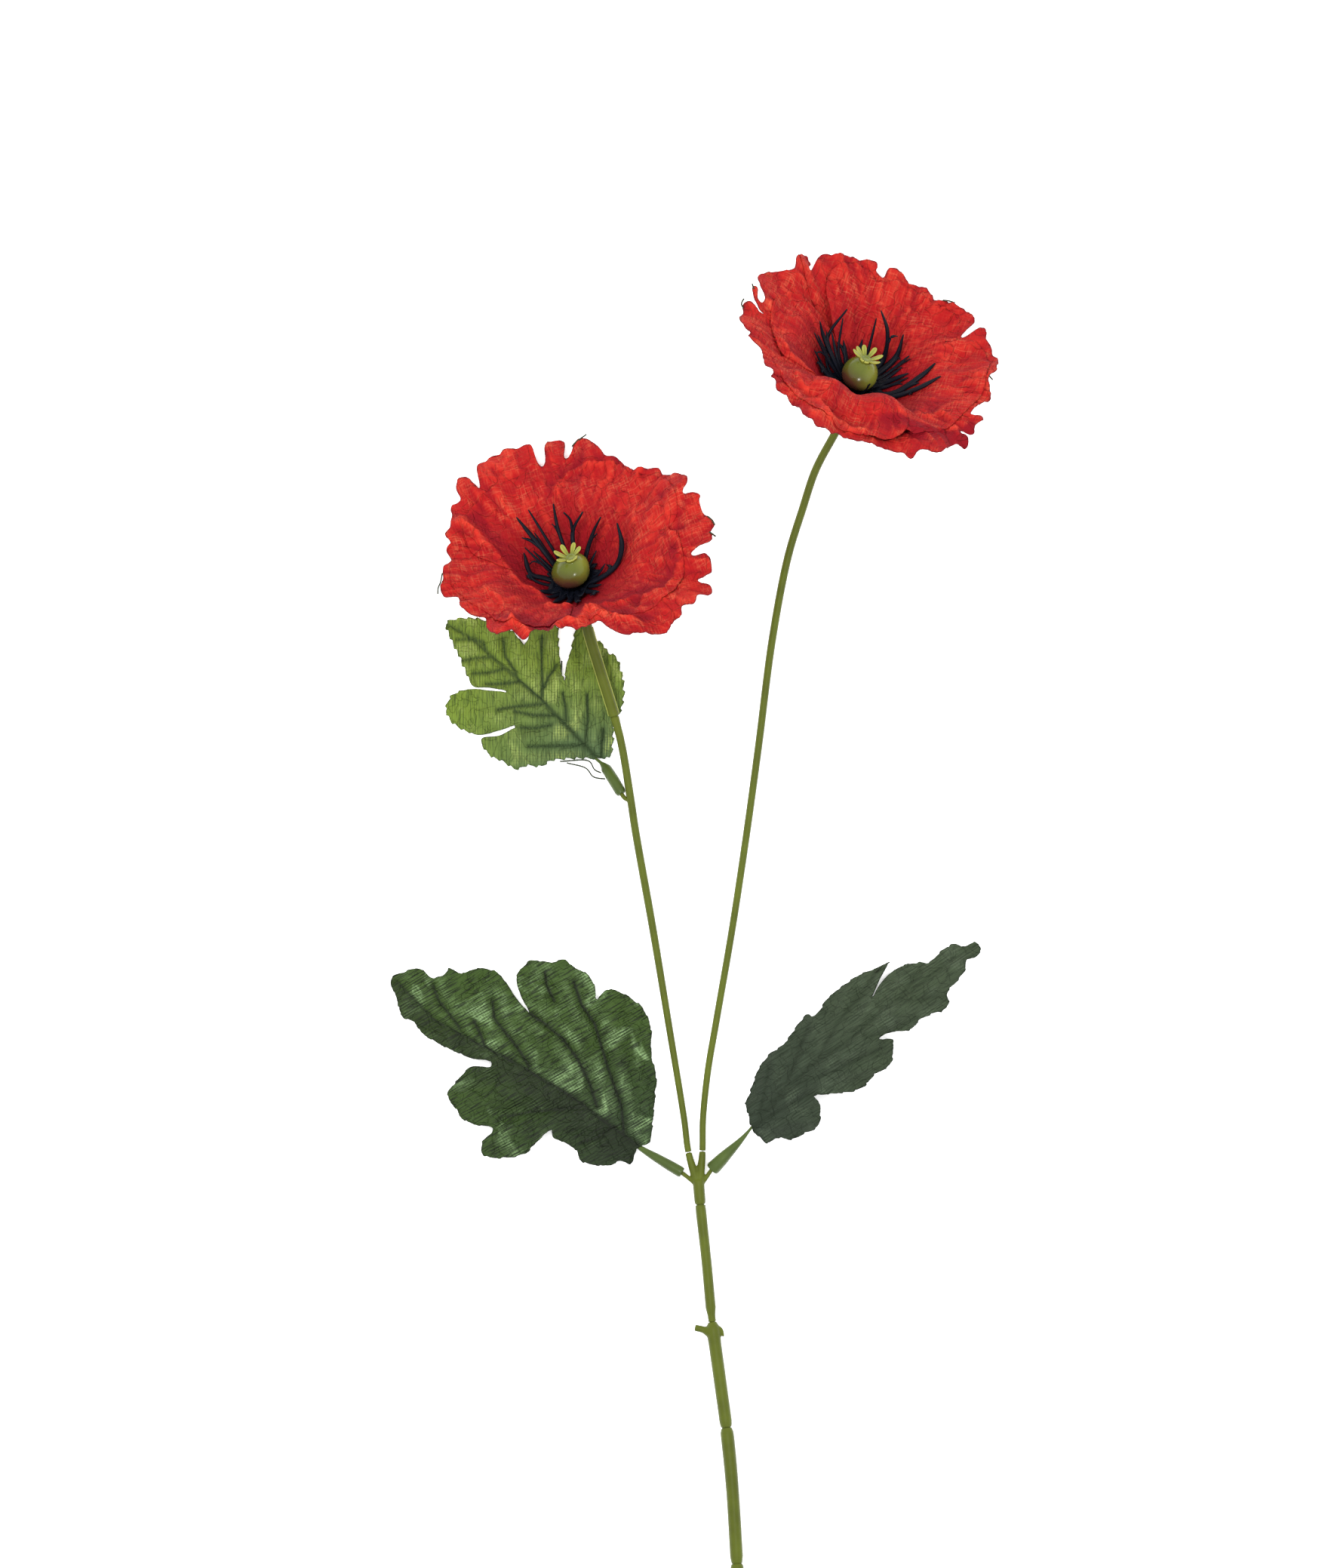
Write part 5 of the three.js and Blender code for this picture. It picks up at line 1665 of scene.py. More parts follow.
RIGHT_BLOOM = Bloom(
    side=Side.RIGHT,
    pose=Pose((53.9, 198, 11.705), 70, 46),
    bowl=Bowl(
        droops=(Bump(290, 60, 5),),
        lifts=(
            Bump(270, 62, 7.5), Bump(248, 26, 3), Bump(298, 26, 7, far=43), Bump(178, 45, 3),
            Bump(30, 60, 3),
        ),
    ),
    folds=(
        Fold(((-28.6, 15.1), (-31.9, 14.1), (-36, 8.2), (-36.4, 3.2), (-34.4, -2.2), (-31, -9.1),
              (-27.4, -11.9)), 0.9, 1, 0.8),
        Fold(((-28.6, 15.4), (-24.5, 15), (-19.2, 14.1)), 0.8, 0.7),
        Fold(((-27.4, -11.9), (-23.5, -13.5), (-19.5, -13.3), (-16.5, -12.1), (-12, -12)),
             2.2, 1.8, 0.9, 0.3),
        Fold(((-20.3, -22.5), (-18.9, -26.9), (-14.3, -29), (-8.3, -25)), 1.8, 1.6, 0.8),
        Fold(((-9.4, -44), (-2.6, -38.3), (1.3, -36.8), (3.8, -40.5), (7.7, -39)), 1.2, 1.4, 1.2),
        Fold(((16.7, -26.6), (23, -26.4), (30.7, -26.2), (37.4, -24.6)), 0.8, 1.4, 0.7, -0.9),
        Fold(((22.6, -17.2), (26.4, -19.8), (30, -15.3), (35.2, -20.8), (39.1, -26.2)), 1.8, 1.3, 0.8, 0.3),
        Fold(((-28.5, 24.2), (-26.7, 21.3), (-24.4, 19)), -1.2, 0.7, 0),
        Fold(((-20, -34), (-14, -38), (-10, -34), (-4, -42)), 2, 1.6, 0.9),
        Fold(((-25.8, 29.7), (-23.2, 24.9), (-21.9, 19.7)), 0.5, 0.8, 0.5),
        Fold(((-19, 34.4), (-15.1, 30.9), (-14, 25.8), (-14.2, 22.4)), 0.5, 0.8, 0.5),
        Fold(((-16.4, 34.8), (-14.5, 32.7)), -0.5, 0.9, -0.7),
        Fold(((-8.1, 35.5), (-5.7, 31.9)), 0.4, 0.8, 0.4),
        Fold(((-3.7, 33.2), (-2.9, 30), (0.1, 26.9)), 0.5, 0.8, 0.5),
        Fold(((0.6, 37.4), (7.1, 34.8), (11, 30.6)), -0.4, 0.9, -0.6),
        Fold(((12.7, 34.7), (16.7, 30), (17.6, 25.9)), 0.4, 0.8, 0.4),
        Fold(((27.9, 20.2), (25.3, 14.6), (22.8, 10.8)), 0.5, 0.9, 0.4),
        Fold(((36.7, 17.7), (33.2, 13.4), (28.5, 11.2)), -0.5, 0.8, -0.7),
        Fold(((41.2, 7.3), (35.1, 3.9), (31.2, -0.3)), -0.5, 0.8, -0.7),
        Fold(((42.9, -1.7), (37.1, -3.3), (32.6, -6.9)), -0.4, 0.8, -0.6),
        Fold(((-37.8, 16.9), (-35.7, 14.3), (-36, 11.3)), -0.5, 0.9, -0.7),
    ),
    turn=2,
    cut=(
        (118.6, 41.9), (109.4, 40.9), (102.9, 41.7), (100.7, 41.1), (99.9, 39.7), (100.3, 37.6),
        (96.6, 35.9), (95.6, 36.1), (94.5, 39), (92.2, 39.7), (85.5, 39), (81.6, 37.9), (77.6, 39.6),
        (73.7, 39.9), (64.3, 37.1), (59.8, 38.9), (48.3, 43.1), (45.1, 43.2), (42.4, 42), (38, 36),
        (36.9, 35.6), (35.8, 36.2), (37.4, 42.3), (36.3, 43.6), (34.2, 43.7), (30.3, 42.8), (27.5, 44),
        (22, 44.1), (19.9, 45.4), (15.8, 45.3), (12.9, 44.3), (8.1, 44.2), (4.1, 42.1), (352.9, 45.5),
        (348.5, 43.4), (338.4, 43.5), (338.7, 45), (340.5, 46.7), (340, 47.7), (338.6, 48.5), (335, 47.7),
        (332.1, 49.4), (328.9, 46), (328.2, 46), (328, 46.7), (329.3, 47.9), (329.4, 48.8), (327.3, 51.3),
        (326, 52), (324.6, 51.8), (323.9, 50.5), (321.5, 49.5), (312.2, 52.4), (310.7, 52.5), (306.2, 48),
        (305.1, 48), (302.6, 49.8), (301.7, 49.7), (299.6, 46.5), (297.4, 45.7), (294, 44.7), (282.4, 44.9),
        (277.4, 44.3), (274.4, 44.9), (269.4, 44.1), (267.4, 46.2), (265.6, 46.1), (261.3, 48.9),
        (260, 49.3), (258.3, 48.3), (256.1, 48.3), (253.3, 47.5), (248.9, 44.7), (244.6, 44.6),
        (241.1, 43.4), (235.6, 45), (232.3, 43), (229.8, 43.9), (228.5, 42.2), (226.5, 41.3), (225.2, 41.3),
        (223.7, 42.8), (222, 42.9), (215.8, 40.9), (211, 40.6), (206.5, 44.7), (205.3, 44.8), (202.6, 43.5),
        (201, 45.1), (197.2, 46.5), (193.3, 46.8), (187, 45.1), (183.7, 45.9), (182.2, 45.7), (180.4, 43.8),
        (182.6, 40), (182.7, 38), (181.3, 40.5), (175.4, 44.8), (173.7, 45), (172.8, 43.7), (177.4, 41.7),
        (177.7, 40), (176.6, 39.6), (175.1, 39.6), (172.3, 40.8), (170.3, 43.1), (167.7, 45), (165.5, 45.8),
        (162, 45.8), (158.8, 44.8), (147.3, 40.2), (145.3, 40.8), (141.4, 43.8), (139.1, 44.8),
        (136.5, 45.3), (134.1, 44.5), (134.6, 42.5), (137.6, 38.9), (137.4, 38.3), (127.4, 43.8),
        (125.5, 43.4), (123.3, 42.1),
    ),
    inner_petals=(
        drawn_petal(78, (
            (24, 14), (24, 28), (27, 33.5), (37, 34.2), (48, 38.5), (60, 36.3), (66, 35.8), (75, 37),
            (86, 36.8), (94, 34.6), (99, 34.5), (105, 38), (118, 38.5), (126, 36.5), (131, 32), (133, 25),
            (134, 14),
        )),
        drawn_petal(176, (
            (124, 12), (131, 17), (139, 21.5), (145, 25), (149, 29.5), (152, 32.3), (157, 34.9),
            (167, 36.5), (175, 36.4), (184, 35.1), (196, 33.2), (203, 32.6), (210, 30.5), (215, 26),
            (219, 20), (223, 13),
        )),
        drawn_petal(258, (
            (207, 14), (208, 25), (211, 32), (218, 37), (228, 39), (240, 40.5), (255, 42), (270, 42),
            (285, 41.5), (296, 41), (303, 39), (307, 35), (309, 26), (310, 14),
        )),
        drawn_petal(345, (
            (297, 14), (297, 28), (300, 36), (306, 40), (316, 42.5), (325, 42.5), (335, 41.5), (345, 41.5),
            (355, 42), (365, 41), (375, 42), (385, 41), (391, 38), (395, 33.5), (398, 26), (399, 14),
        )),
    ),
    strands=(
        Strand(165, ((11, 163, 11), (17.5, 160, 17), (20.2, 161, 22)), ((0.4, (17.8, 152, 17)),)),
        Strand(180, ((11, 178, 11), (19.5, 180, 22)), ((0.5, (16.8, 188, 15)),), 1.4),
        Strand(186, ((10.2, 180, 7), (17, 149, 14.5), (18.9, 128, 24)), width=1.4),
        Strand(150, ((11, 148, 12), (17, 135, 22)), ((0.4, (13.8, 141, 16)),), 1.3),
        Strand(130, ((9, 132, 9), (13.8, 132, 14)), ((0.5, (14.4, 141, 13)),)),
        Strand(104, ((9, 104, 9), (14.2, 103, 14)),),
        Strand(172, ((11, 170, 10), (18.4, 171, 19)), width=1.7),
        Strand(158, ((10, 156, 11), (16.5, 148, 17)), width=1.6),
        Strand(193, ((11, 188, 8), (17.5, 186, 16)), ((0.5, (15.5, 194, 11)),), 1.6),
        Strand(30, ((10.5, 32, 7), (15.5, 34, 11)), width=1.5),
        Strand(8, ((10.5, 12, 6.5), (16.5, 14, 9)), ((0.5, (15, 6, 8)),), 1.6),
        Strand(66, ((13.2, 64, 9), (15.8, 75, 20), (18, 92, 26)), ((0.55, (17, 62, 20)),)),
        Strand(88, ((11, 90, 13), (16.8, 94, 23)), width=1.4),
        Strand(52, ((10.5, 52, 8), (15.9, 52, 13), (19, 60, 20.5)), ((0.5, (16, 45, 12)),)),
        Strand(38, ((11, 40, 8), (18.5, 41, 14)), ((0.5, (18.3, 37, 11)),), 1.3),
        Strand(20, ((10, 24, 6.5), (16.7, 20, 7.2)),),
        Strand(340, ((13, 352, 6.5), (20.4, 9, 10), (24.4, 18, 17)), ((0.45, (20.2, 1, 11)),)),
        Strand(330, ((13, 343, 6.5), (20.5, 354, 10), (26.5, 3, 13.5)), ((0.5, (19, 345, 9)),)),
        Strand(300, ((5.8, 308, 9), (6.6, 314, 13)), width=1.0),
        Strand(205, ((10, 200, 8), (15.5, 192, 13)), ((0.5, (13.5, 205, 11)),)),
        Strand(225, ((9, 226, 7), (12, 226, 10)),),
        Strand(250, ((8.5, 252, 6.4), (11.5, 254, 8)),),
        Strand(275, ((8.5, 276, 6.4), (12, 279, 8)),),
    ),
    pod_radius=6.2,
    rays=((190, 5.8), (160, 5.2), (122, 4.9), (67, 5.1), (17, 5.5), (331, 5.8), (235, 2.8), (285, 2.8)),
    crown_shift=(0.3, 1.8),
    wash_turn=238,
    threads=(
        ((44.2, 174.8), (45, 174.1), (45.6, 173.1)),
        ((45.5, 184.9), (46.4, 183.5), (46.5, 182.2), (46.2, 180.7)),
        ((38, 61.3), (39.2, 58.8), (40.4, 56.1)), ((41.3, 6), (42.4, 3.9), (43.6, 2.4)),
    ),
    seed=4.2,
)


# Stems

MAIN_STEM = (
    (26.8, -312.3, 2.125), (24.6, -268.6, 2.4), (22.8, -239.8, 2.6), (21, -221.9, 2.7), (18.9, -206.4, 2.8),
    (16.1, -185.4, 2.9), (14.1, -164.4, 3), (12, -145, 3.2), (11.3, -136.5, 3.3),
)
LEFT_STEM = (
    (11.3, -138.5, 3.3), (7.9, -126.9, 3.4), (6.4, -115.4, 3.5), (1, -82.2, 3.9), (-4.5, -49.1, 4.4),
    (-10.4, -15.9, 5.2), (-12, -5.2, 5.5), (-15.2, 14, 6.2), (-17.7, 23.7, 6.5), (-22.4, 38.7, 6.7),
    (-27, 54.1, 7.2),
)
RIGHT_STEM = (
    (11.6, -138.5, 3.3), (12.7, -127.1, 3.4), (12.9, -115.4, 3.5), (14.6, -98.8, 3.5), (17.4, -82.2, 3.5),
    (23.1, -49.1, 3.5), (28.1, -15.9, 3.5), (32.1, 13.5, 3.5), (36.8, 49.9, 3.5), (42.2, 78.3, 3.5),
    (47.2, 94.7, 3.5), (51.7, 108.2, 3.6), (57.9, 119.9, 3.9),
)


@dataclass
class Stems:
    """The forked stem: four sleeves on a wire, the fork, and the two flower stems."""

    main: Sequence[Triple] = MAIN_STEM
    left: Sequence[Triple] = LEFT_STEM
    right: Sequence[Triple] = RIGHT_STEM
    sleeve_lengths: Sequence[float] = (43.8, 46.9, 36.8, 40.6)
    wire: float = 0.65
    stub: float = 12.0
    collar_at: float = 164.6
    in_calyx: float = 4.2
    straight: float = 6.5  # length that runs straight into the calyx
    sides: int = 28
    sleeve_shapes: Sequence[Line] = (  # share of the sleeve's length and radius
        ((0, 2.3), (0.5, 2.26), (0.93, 2.3), (0.975, 2.22), (1, 1.95)),
        ((0, 1.85), (0.02, 2), (0.05, 2.2), (0.5, 2.18), (0.92, 2.3), (0.97, 2.24), (1, 1.9)),
        ((0, 1.8), (0.025, 2.02), (0.06, 2.15), (0.8, 2.2), (0.89, 2.36), (0.95, 2.25), (0.98, 1.9),
         (1, 1.6)),
        ((0, 1.3), (0.05, 1.32), (0.08, 1.5), (0.12, 1.75), (0.6, 1.72), (0.93, 1.82), (1, 1.75)),
    )

    def flower_route(self, points: Sequence[Triple], pose: Pose) -> Route:
        """Returns the middle of a flower's stem, from inside the fork to the calyx."""
        end = Vector(pose.base) - pose.axis * self.in_calyx
        return Route([*map(from_plan, points), end - pose.axis * self.straight, end])

    def build(self, green: Material, steel: Material) -> list[Object]:
        """Makes the stems' pieces.

        Args:
            green: finish of the mouldings.
            steel: finish of the wires.

        Returns:
            The pieces.
        """
        route = Route([from_plan(p) for p in self.main])
        ends = [0.0]
        for length in self.sleeve_lengths:
            ends.append(ends[-1] + length)
        made = []
        for k, shares in enumerate(self.sleeve_shapes):
            low = ends[k] + (FIT / 2 if k else 0)
            high = ends[k + 1] - FIT / 2
            outer = [(blend(low, high, share), radius) for share, radius in shares]
            bm = bmesh.new()
            self.add_neck(bm, route, high, outer[-1][1])
            if k == 2:
                add_rod(bm, route, rounded(outer), self.sides)
                self.add_node(bm, route.point(ends[3] - 2.4))
                bm = fused(bm, 0.3, 3)
            else:
                add_rod(bm, route, bored(outer, self.wire + FIT), self.sides)
            name = f"stem_sleeve_{k + 1}"
            made.append(make_piece(f"{name}_moulding", bm, green, [name]))
        fork_start = ends[4] + FIT / 2
        bm = bmesh.new()
        add_rod(bm, route, rounded([(0, self.wire), (fork_start + 5, self.wire)], 0.1), 16)
        made.append(make_piece("core_wire_drawn", bm, steel, ["core_wire"]))
        left = self.flower_route(self.left, LEFT_BLOOM.pose)
        right = self.flower_route(self.right, RIGHT_BLOOM.pose)
        made.append(self.fork(route, fork_start, left, right, green))
        made += self.flower_stems(left, right, green)
        return made

    def add_neck(self, bm: Mesh, route: Route, end: float, radius: float) -> None:
        """Adds the narrow neck that closes the joint at a sleeve's upper end."""
        neck = [(end - 1, radius - NECK), (end + FIT - 0.02, radius - NECK)]
        add_rod(bm, route, rounded(neck, 0.02), self.sides)

    def add_node(self, bm: Mesh, middle: Vector) -> None:
        """Adds the empty peg and the pointed burr on the node of the third sleeve.

        Args:
            bm: mesh that they go into.
            middle: middle of the node.
        """
        peg = ((-1.3, -1, 0), (-3.4, -0.2, 0), (-6.6, 0.5, 0.3))
        burr = ((1.2, 0.3, 0), (2.6, -0.2, 0), (3.7, -2.8, 0))
        peg_route, burr_route = (Route([middle + Vector(p) for p in path]) for path in (peg, burr))
        add_rod(bm, peg_route, rounded([(0, 1.8), (2.2, 1.15), (5.2, 1.15)]), 20, step=0.6)
        add_rod(bm, burr_route, rounded([(0, 1.2), (1.6, 0.8), (4.2, 0.35)], 0.15), 16, step=0.6)

    def fork(self, route: Route, start: float, left: Route, right: Route, green: Material) -> Object:
        """Makes the fork, its two stubs and the pegs of its leaves.

        Args:
            route: middle of the main stem.
            start: where the fork begins on it.
            left: middle of the left flower's stem.
            right: middle of the right flower's stem.
            green: finish.

        Returns:
            The piece.
        """
        bm = bmesh.new()
        add_rod(bm, route, rounded([(start, 1.8), (start + 1.2, 1.95), (start + 8.6, 2)]), self.sides)
        for stem in (left, right):
            add_rod(bm, stem, rounded([(0, 1.5), (3, 1.5), (self.stub, 1.15)]), self.sides, step=1.0)
        for stalk in (LEFT_STALK, RIGHT_STALK):
            stalk.add_peg(bm)
        return make_piece("stem_fork_moulding", fused(bm, 0.28, 4), green, ["stem_fork"])

    def flower_stems(self, left: Route, right: Route, green: Material) -> list[Object]:
        """Makes the two flower stems and the wider sleeve above the left one's collar.

        Args:
            left: middle of the left flower's stem.
            right: middle of the right flower's stem.
            green: finish.

        Returns:
            The pieces.
        """
        start = self.stub + FIT
        bm = bmesh.new()
        collar, top = self.collar_at, left.length
        lower = [(start, 1.1), (40, 1.15), (100, 1.35), (collar - 4, 1.35), (collar - FIT, 1.5)]
        add_rod(bm, left, rounded(lower), self.sides)
        self.add_neck(bm, left, collar - FIT, 1.6)
        UPPER_STALK.add_peg(bm)
        made = [make_piece("flower_stem_left_moulding", bm, green, ["flower_stem_left"])]
        bm = bmesh.new()
        cuff = [(collar, 1.75), (collar + 1.2, 1.85), (collar + 2.2, 1.78)]
        sleeve = [*cuff, (top - 9, 1.75), (top - 4, 1.5), (top, 1.5)]
        add_rod(bm, left, bored(sleeve, 0.65), self.sides)
        made.append(make_piece("flower_stem_left_sleeve", bm, green, ["flower_stem_left_top"]))
        made.append(self.sleeve_seams(left))
        bm = bmesh.new()
        add_rod(bm, right, rounded([(start, 1.1), (60, 1.2), (180, 1.3), (right.length, 1.4)]), self.sides)
        made.append(make_piece("flower_stem_right_moulding", bm, green, ["flower_stem_right"]))
        return made

    def sleeve_seams(self, stem: Route) -> Object:
        """Makes the thin pale flash along both sides of the wider sleeve.

        Args:
            stem: middle of the left flower's stem.

        Returns:
            The piece.
        """
        bm = bmesh.new()
        cuts, sleeve_radius, flash = 12, 1.75, 0.28
        start, end = self.collar_at + 0.6, stem.length - 12
        for side in (-1, 1):
            line = []
            for k in range(cuts + 1):
                along = blend(start, end, k / cuts)
                across = stem.tangent(along).cross(Vector((0, 0, 1))).normalized()
                line.append(stem.point(along) + side * sleeve_radius * across)
            route = Route(line)
            add_rod(bm, route, rounded([(0, flash), (route.length, flash)], 0.1), 10)
        pale = MouldedPlastic("moulded_polyethylene_flash", "#8d9447", "#7c843c", 0.5, 0.2).material()
        return make_piece("sleeve_flash_left", bm, pale)


@dataclass
class LeafStalk:
    """A bent ferrule that holds a leaf and is slipped over a peg."""

    name: str
    path: Sequence[Triple]
    stations: Line  # distance along the path and radius
    peg: Sequence[Triple]
    peg_radius: float = 0.75

    def add_peg(self, bm: Mesh) -> None:
        """Adds the peg that it slips over to the moulding that carries the peg."""
        route, radius = Route([from_plan(p) for p in self.peg]), self.peg_radius
        add_rod(bm, route, rounded([(0, radius), (route.length, radius)], 0.15), 16, step=1.0)

    def build(self, green: Material) -> Object:
        """Makes the stalk.

        Args:
            green: finish.

        Returns:
            The piece.
        """
        route = Route([from_plan(p) for p in self.path])
        bm = bmesh.new()
        add_rod(bm, route, rounded(self.stations, 0.2), 24, step=0.8)
        name = f"leaf_stalk_{self.name}"
        return make_piece(f"{name}_moulding", bm, green, [name])


LEFT_STALK = LeafStalk(
    "left",
    path=((5.7, -133.9, 3.4), (-1.6, -129.6, 2.7), (-9, -125.2, 1.2), (-13.6, -121.9, 1)),
    stations=((0, 1.75), (0.8, 1.9), (5, 1.85), (11, 1.5), (16, 1), (19, 0.5), (21.5, 0.4)),
    peg=((10.6, -138, 3.3), (8.3, -136, 3.35), (5.9, -134.1, 3.4), (3.7, -132.8, 3.2)),
)
RIGHT_STALK = LeafStalk(
    "right",
    path=((16, -132.7, 3.6), (21, -127.6, 5.2), (26.5, -122, 7.4), (31.4, -116, 8.9)),
    stations=((0, 2.3), (0.8, 2.45), (5, 2.2), (10, 1.6), (15, 0.95), (19, 0.5), (22, 0.4)),
    peg=((12.2, -138.2, 3.3), (13.9, -135.8, 3.3), (15.8, -133, 3.5), (17.4, -131.3, 4.2)),
)
UPPER_STALK = LeafStalk(
    "upper",
    path=((-15.1, -3.4, 4.9), (-18, 1.5, 3.6), (-21.2, 6.2, 1.7), (-24.8, 9.4, 1)),
    stations=((0, 1.6), (1, 1.9), (6, 1.95), (10.8, 1.8), (11.8, 1.3), (13.4, 0.6), (17, 0.4)),
    peg=((-12.1, -5.8, 5.4), (-13.9, -5, 5.3), (-15.1, -3.5, 4.95), (-16.1, -1.8, 4.45)),
)


# Leaves

@dataclass(frozen=True)
class Pleat:
    """The soft pleats between a leaf's side veins."""

    height: float
    pitch: float
    phase: float
    slope: float


@dataclass
class LeafBlade:
    """One cloth leaf: a pressed sheet cut to lobes. Places on it are [along the midrib, left of it]."""

    name: str
    slot: Slot
    base: Pair
    heading: float
    rise: Triple
    fall: float
    pleat: Pleat
    outline: Line
    veins: Sequence[Line]  # the midrib first
    vein_tone: float  # how dark the veins show, with painted shade in and beside their grooves
    painted_side_shade: float  # how dark the painted shade shows left of the midrib
    tooth: Pair  # pitch and depth of the teeth along the cut
    threads: Sequence[Sequence[Triple]] = ()
    cell: float = 0.75
    cut_step: float = 0.6
    cloth: float = 0.35
    groove: float = 0.7  # depth of a vein
    puff: float = 0.7  # height of the cloth between the veins
    crumple: float = 0.35
    side_reach: float = 13.0  # how far from the midrib the painted shade on the left reaches
    edge_tone: float = 0.6

    def height(self, along: float, across: float, length: float) -> float:
        """Finds the height of the leaf's middle surface, before its veins are pressed in.

        Args:
            along: distance from its base along the midrib.
            across: distance to the left of it.
            length: length of the leaf.

        Returns:
            The height.
        """
        u = clamp(along / length)
        base, middle, tip = self.rise
        midrib = base * (1 - u) * (1 - 2 * u) + 4 * middle * u * (1 - u) + tip * u * (2 * u - 1)
        away = abs(across)
        pleat = self.pleat
        wave = math.cos(2 * math.pi * (along - away * pleat.slope - pleat.phase) / pleat.pitch)
        return midrib - self.fall * away + pleat.height * wave * smooth(away, 1, 9)

    def cut_line(self) -> list[Vector]:
        """Draws the cut edge, with teeth wherever there is room for them.

        Returns:
            A fine closed outline.
        """
        points = [Vector((*p, 0)) for p in self.outline]
        route = Route([*points, points[0]])
        count = round(route.length / self.cut_step)
        bare = [route.point(route.length * k / count) for k in range(count)]
        skip = round(7 / self.cut_step)
        pitch, depth = self.tooth
        line = []
        for k, place in enumerate(bare):
            along = route.length * k / count
            others = (bare[(k + n) % count] for n in range(skip, count - skip))
            room = clamp(min((place - other).length for other in others) / 5 - 0.3)
            tangent = route.tangent(along)
            out = Vector((tangent.y, -tangent.x, 0))
            tooth = depth * ((along / pitch) % 1.0 - 0.5)
            fray = 0.2 * noise.noise(Vector((along * 1.3, pitch, 0)))
            line.append(place + out * room * (tooth + fray))
        return line

    def midrib_across(self, along: float) -> float:
        """Finds the midrib.

        Args:
            along: distance from the leaf's base.

        Returns:
            How far left of the straight line to its tip it lies there.
        """
        for (start, a), (end, b) in zip(self.veins[0], self.veins[0][1:]):
            if along <= end:
                return blend(a, b, (along - start) / (end - start))
        return self.veins[0][-1][1]

    def build(self, cloth: Material, thread: Material) -> list[Object]:
        """Makes the leaf and its frayed threads.

        Args:
            cloth: finish of the blade.
            thread: finish of the threads.

        Returns:
            The pieces.
        """
        length = max(s for s, _ in self.outline) + 1
        bm = cut_sheet(self.cut_line(), self.cell)
        self.press(bm, length)
        turn = Matrix.Rotation(math.radians(self.heading), 4, "Z")
        place = Matrix.Translation(from_plan((*self.base, 0))) @ turn
        bmesh.ops.transform(bm, matrix=place, verts=bm.verts)
        lay_down(bm, self.cloth / 2)
        name = f"leaf_blade_{self.name}"
        made = [add_cloth(make_piece(f"{name}_cloth", bm, cloth, [name]), self.cloth)]
        if self.threads:
            paths = [
                [place @ Vector((s, t, self.height(s, t, length) + lift)) for s, t, lift in line]
                for line in self.threads
            ]
            made.append(LooseThreads(f"frayed_threads_{self.name}_leaf", paths).build(thread, self.slot))
        return made

    def press(self, bm: Mesh, length: float) -> None:
        """Presses the flat blade into its form and marks what the finish reads.

        Args:
            bm: the flat blade.
            length: length of its midrib.
        """
        cut = bm.verts.layers.float_vector.new(CUT)
        crease, edge, depth, crest = (bm.verts.layers.float.new(n) for n in (CREASE, EDGE, DEPTH, CREST))
        for vert in bm.verts:
            place = vert.co.copy()
            x, y, _ = place
            spine, *sides = (line_distance(place, vein) for vein in self.veins)
            away = min(spine, *sides)
            flat = Vector((x, y, len(self.veins)))
            crumple = ridge(noise.noise(flat / 5), 3) - 0.3
            rise = self.puff * smooth(away, 0.5, 6) - self.groove * self.near(away, 0.8)
            rise += self.crumple * crumple * smooth(away, 1, 4)
            vert.co.z = self.height(x, y, length) + rise
            vert[cut] = Vector((x, y, 0))
            shaded = y > self.midrib_across(x)
            # dark lines along the veins, partly painted shade in their pressed grooves, a softer painted
            # shade beside them, the midrib, and painted shade left of the midrib
            marks = [
                0.95 * self.near(away, 0.58) + 0.15 * self.near(away, 2),
                0.95 * self.near(spine, 1.1 - 0.6 * clamp(x / length)),
                self.painted_side_shade * self.near(spine, self.side_reach) if shaded else 0,
            ]
            vert[crease] = clamp(self.vein_tone * max(marks) * clamp(1.3 - 0.6 * x / length))
            # painted sheen on the puffed cloth between the veins, left off where the painted side shade is
            # strong
            uneven = 0.6 + 1.2 * noise.noise(flat / 6)
            pale = clamp(uneven * smooth(away, 1, 3) * smooth(7 - away, 0, 4))
            vert[crest] = 0.0 if shaded and self.painted_side_shade > 0.5 else pale
            vert[edge] = self.edge_tone if vert.is_boundary else 0.0
            # darker towards the stalk, and kept darker left of the midrib as painted shade
            vert[depth] = smooth(x + 1.3 * max(-y, 0.1 * y), 0, 0.8 * length)

    @staticmethod
    def near(away: float, reach: float) -> float:
        """Returns 1 on a vein, fading smoothly with the distance from it."""
        return math.exp(-((away / reach) ** 2))


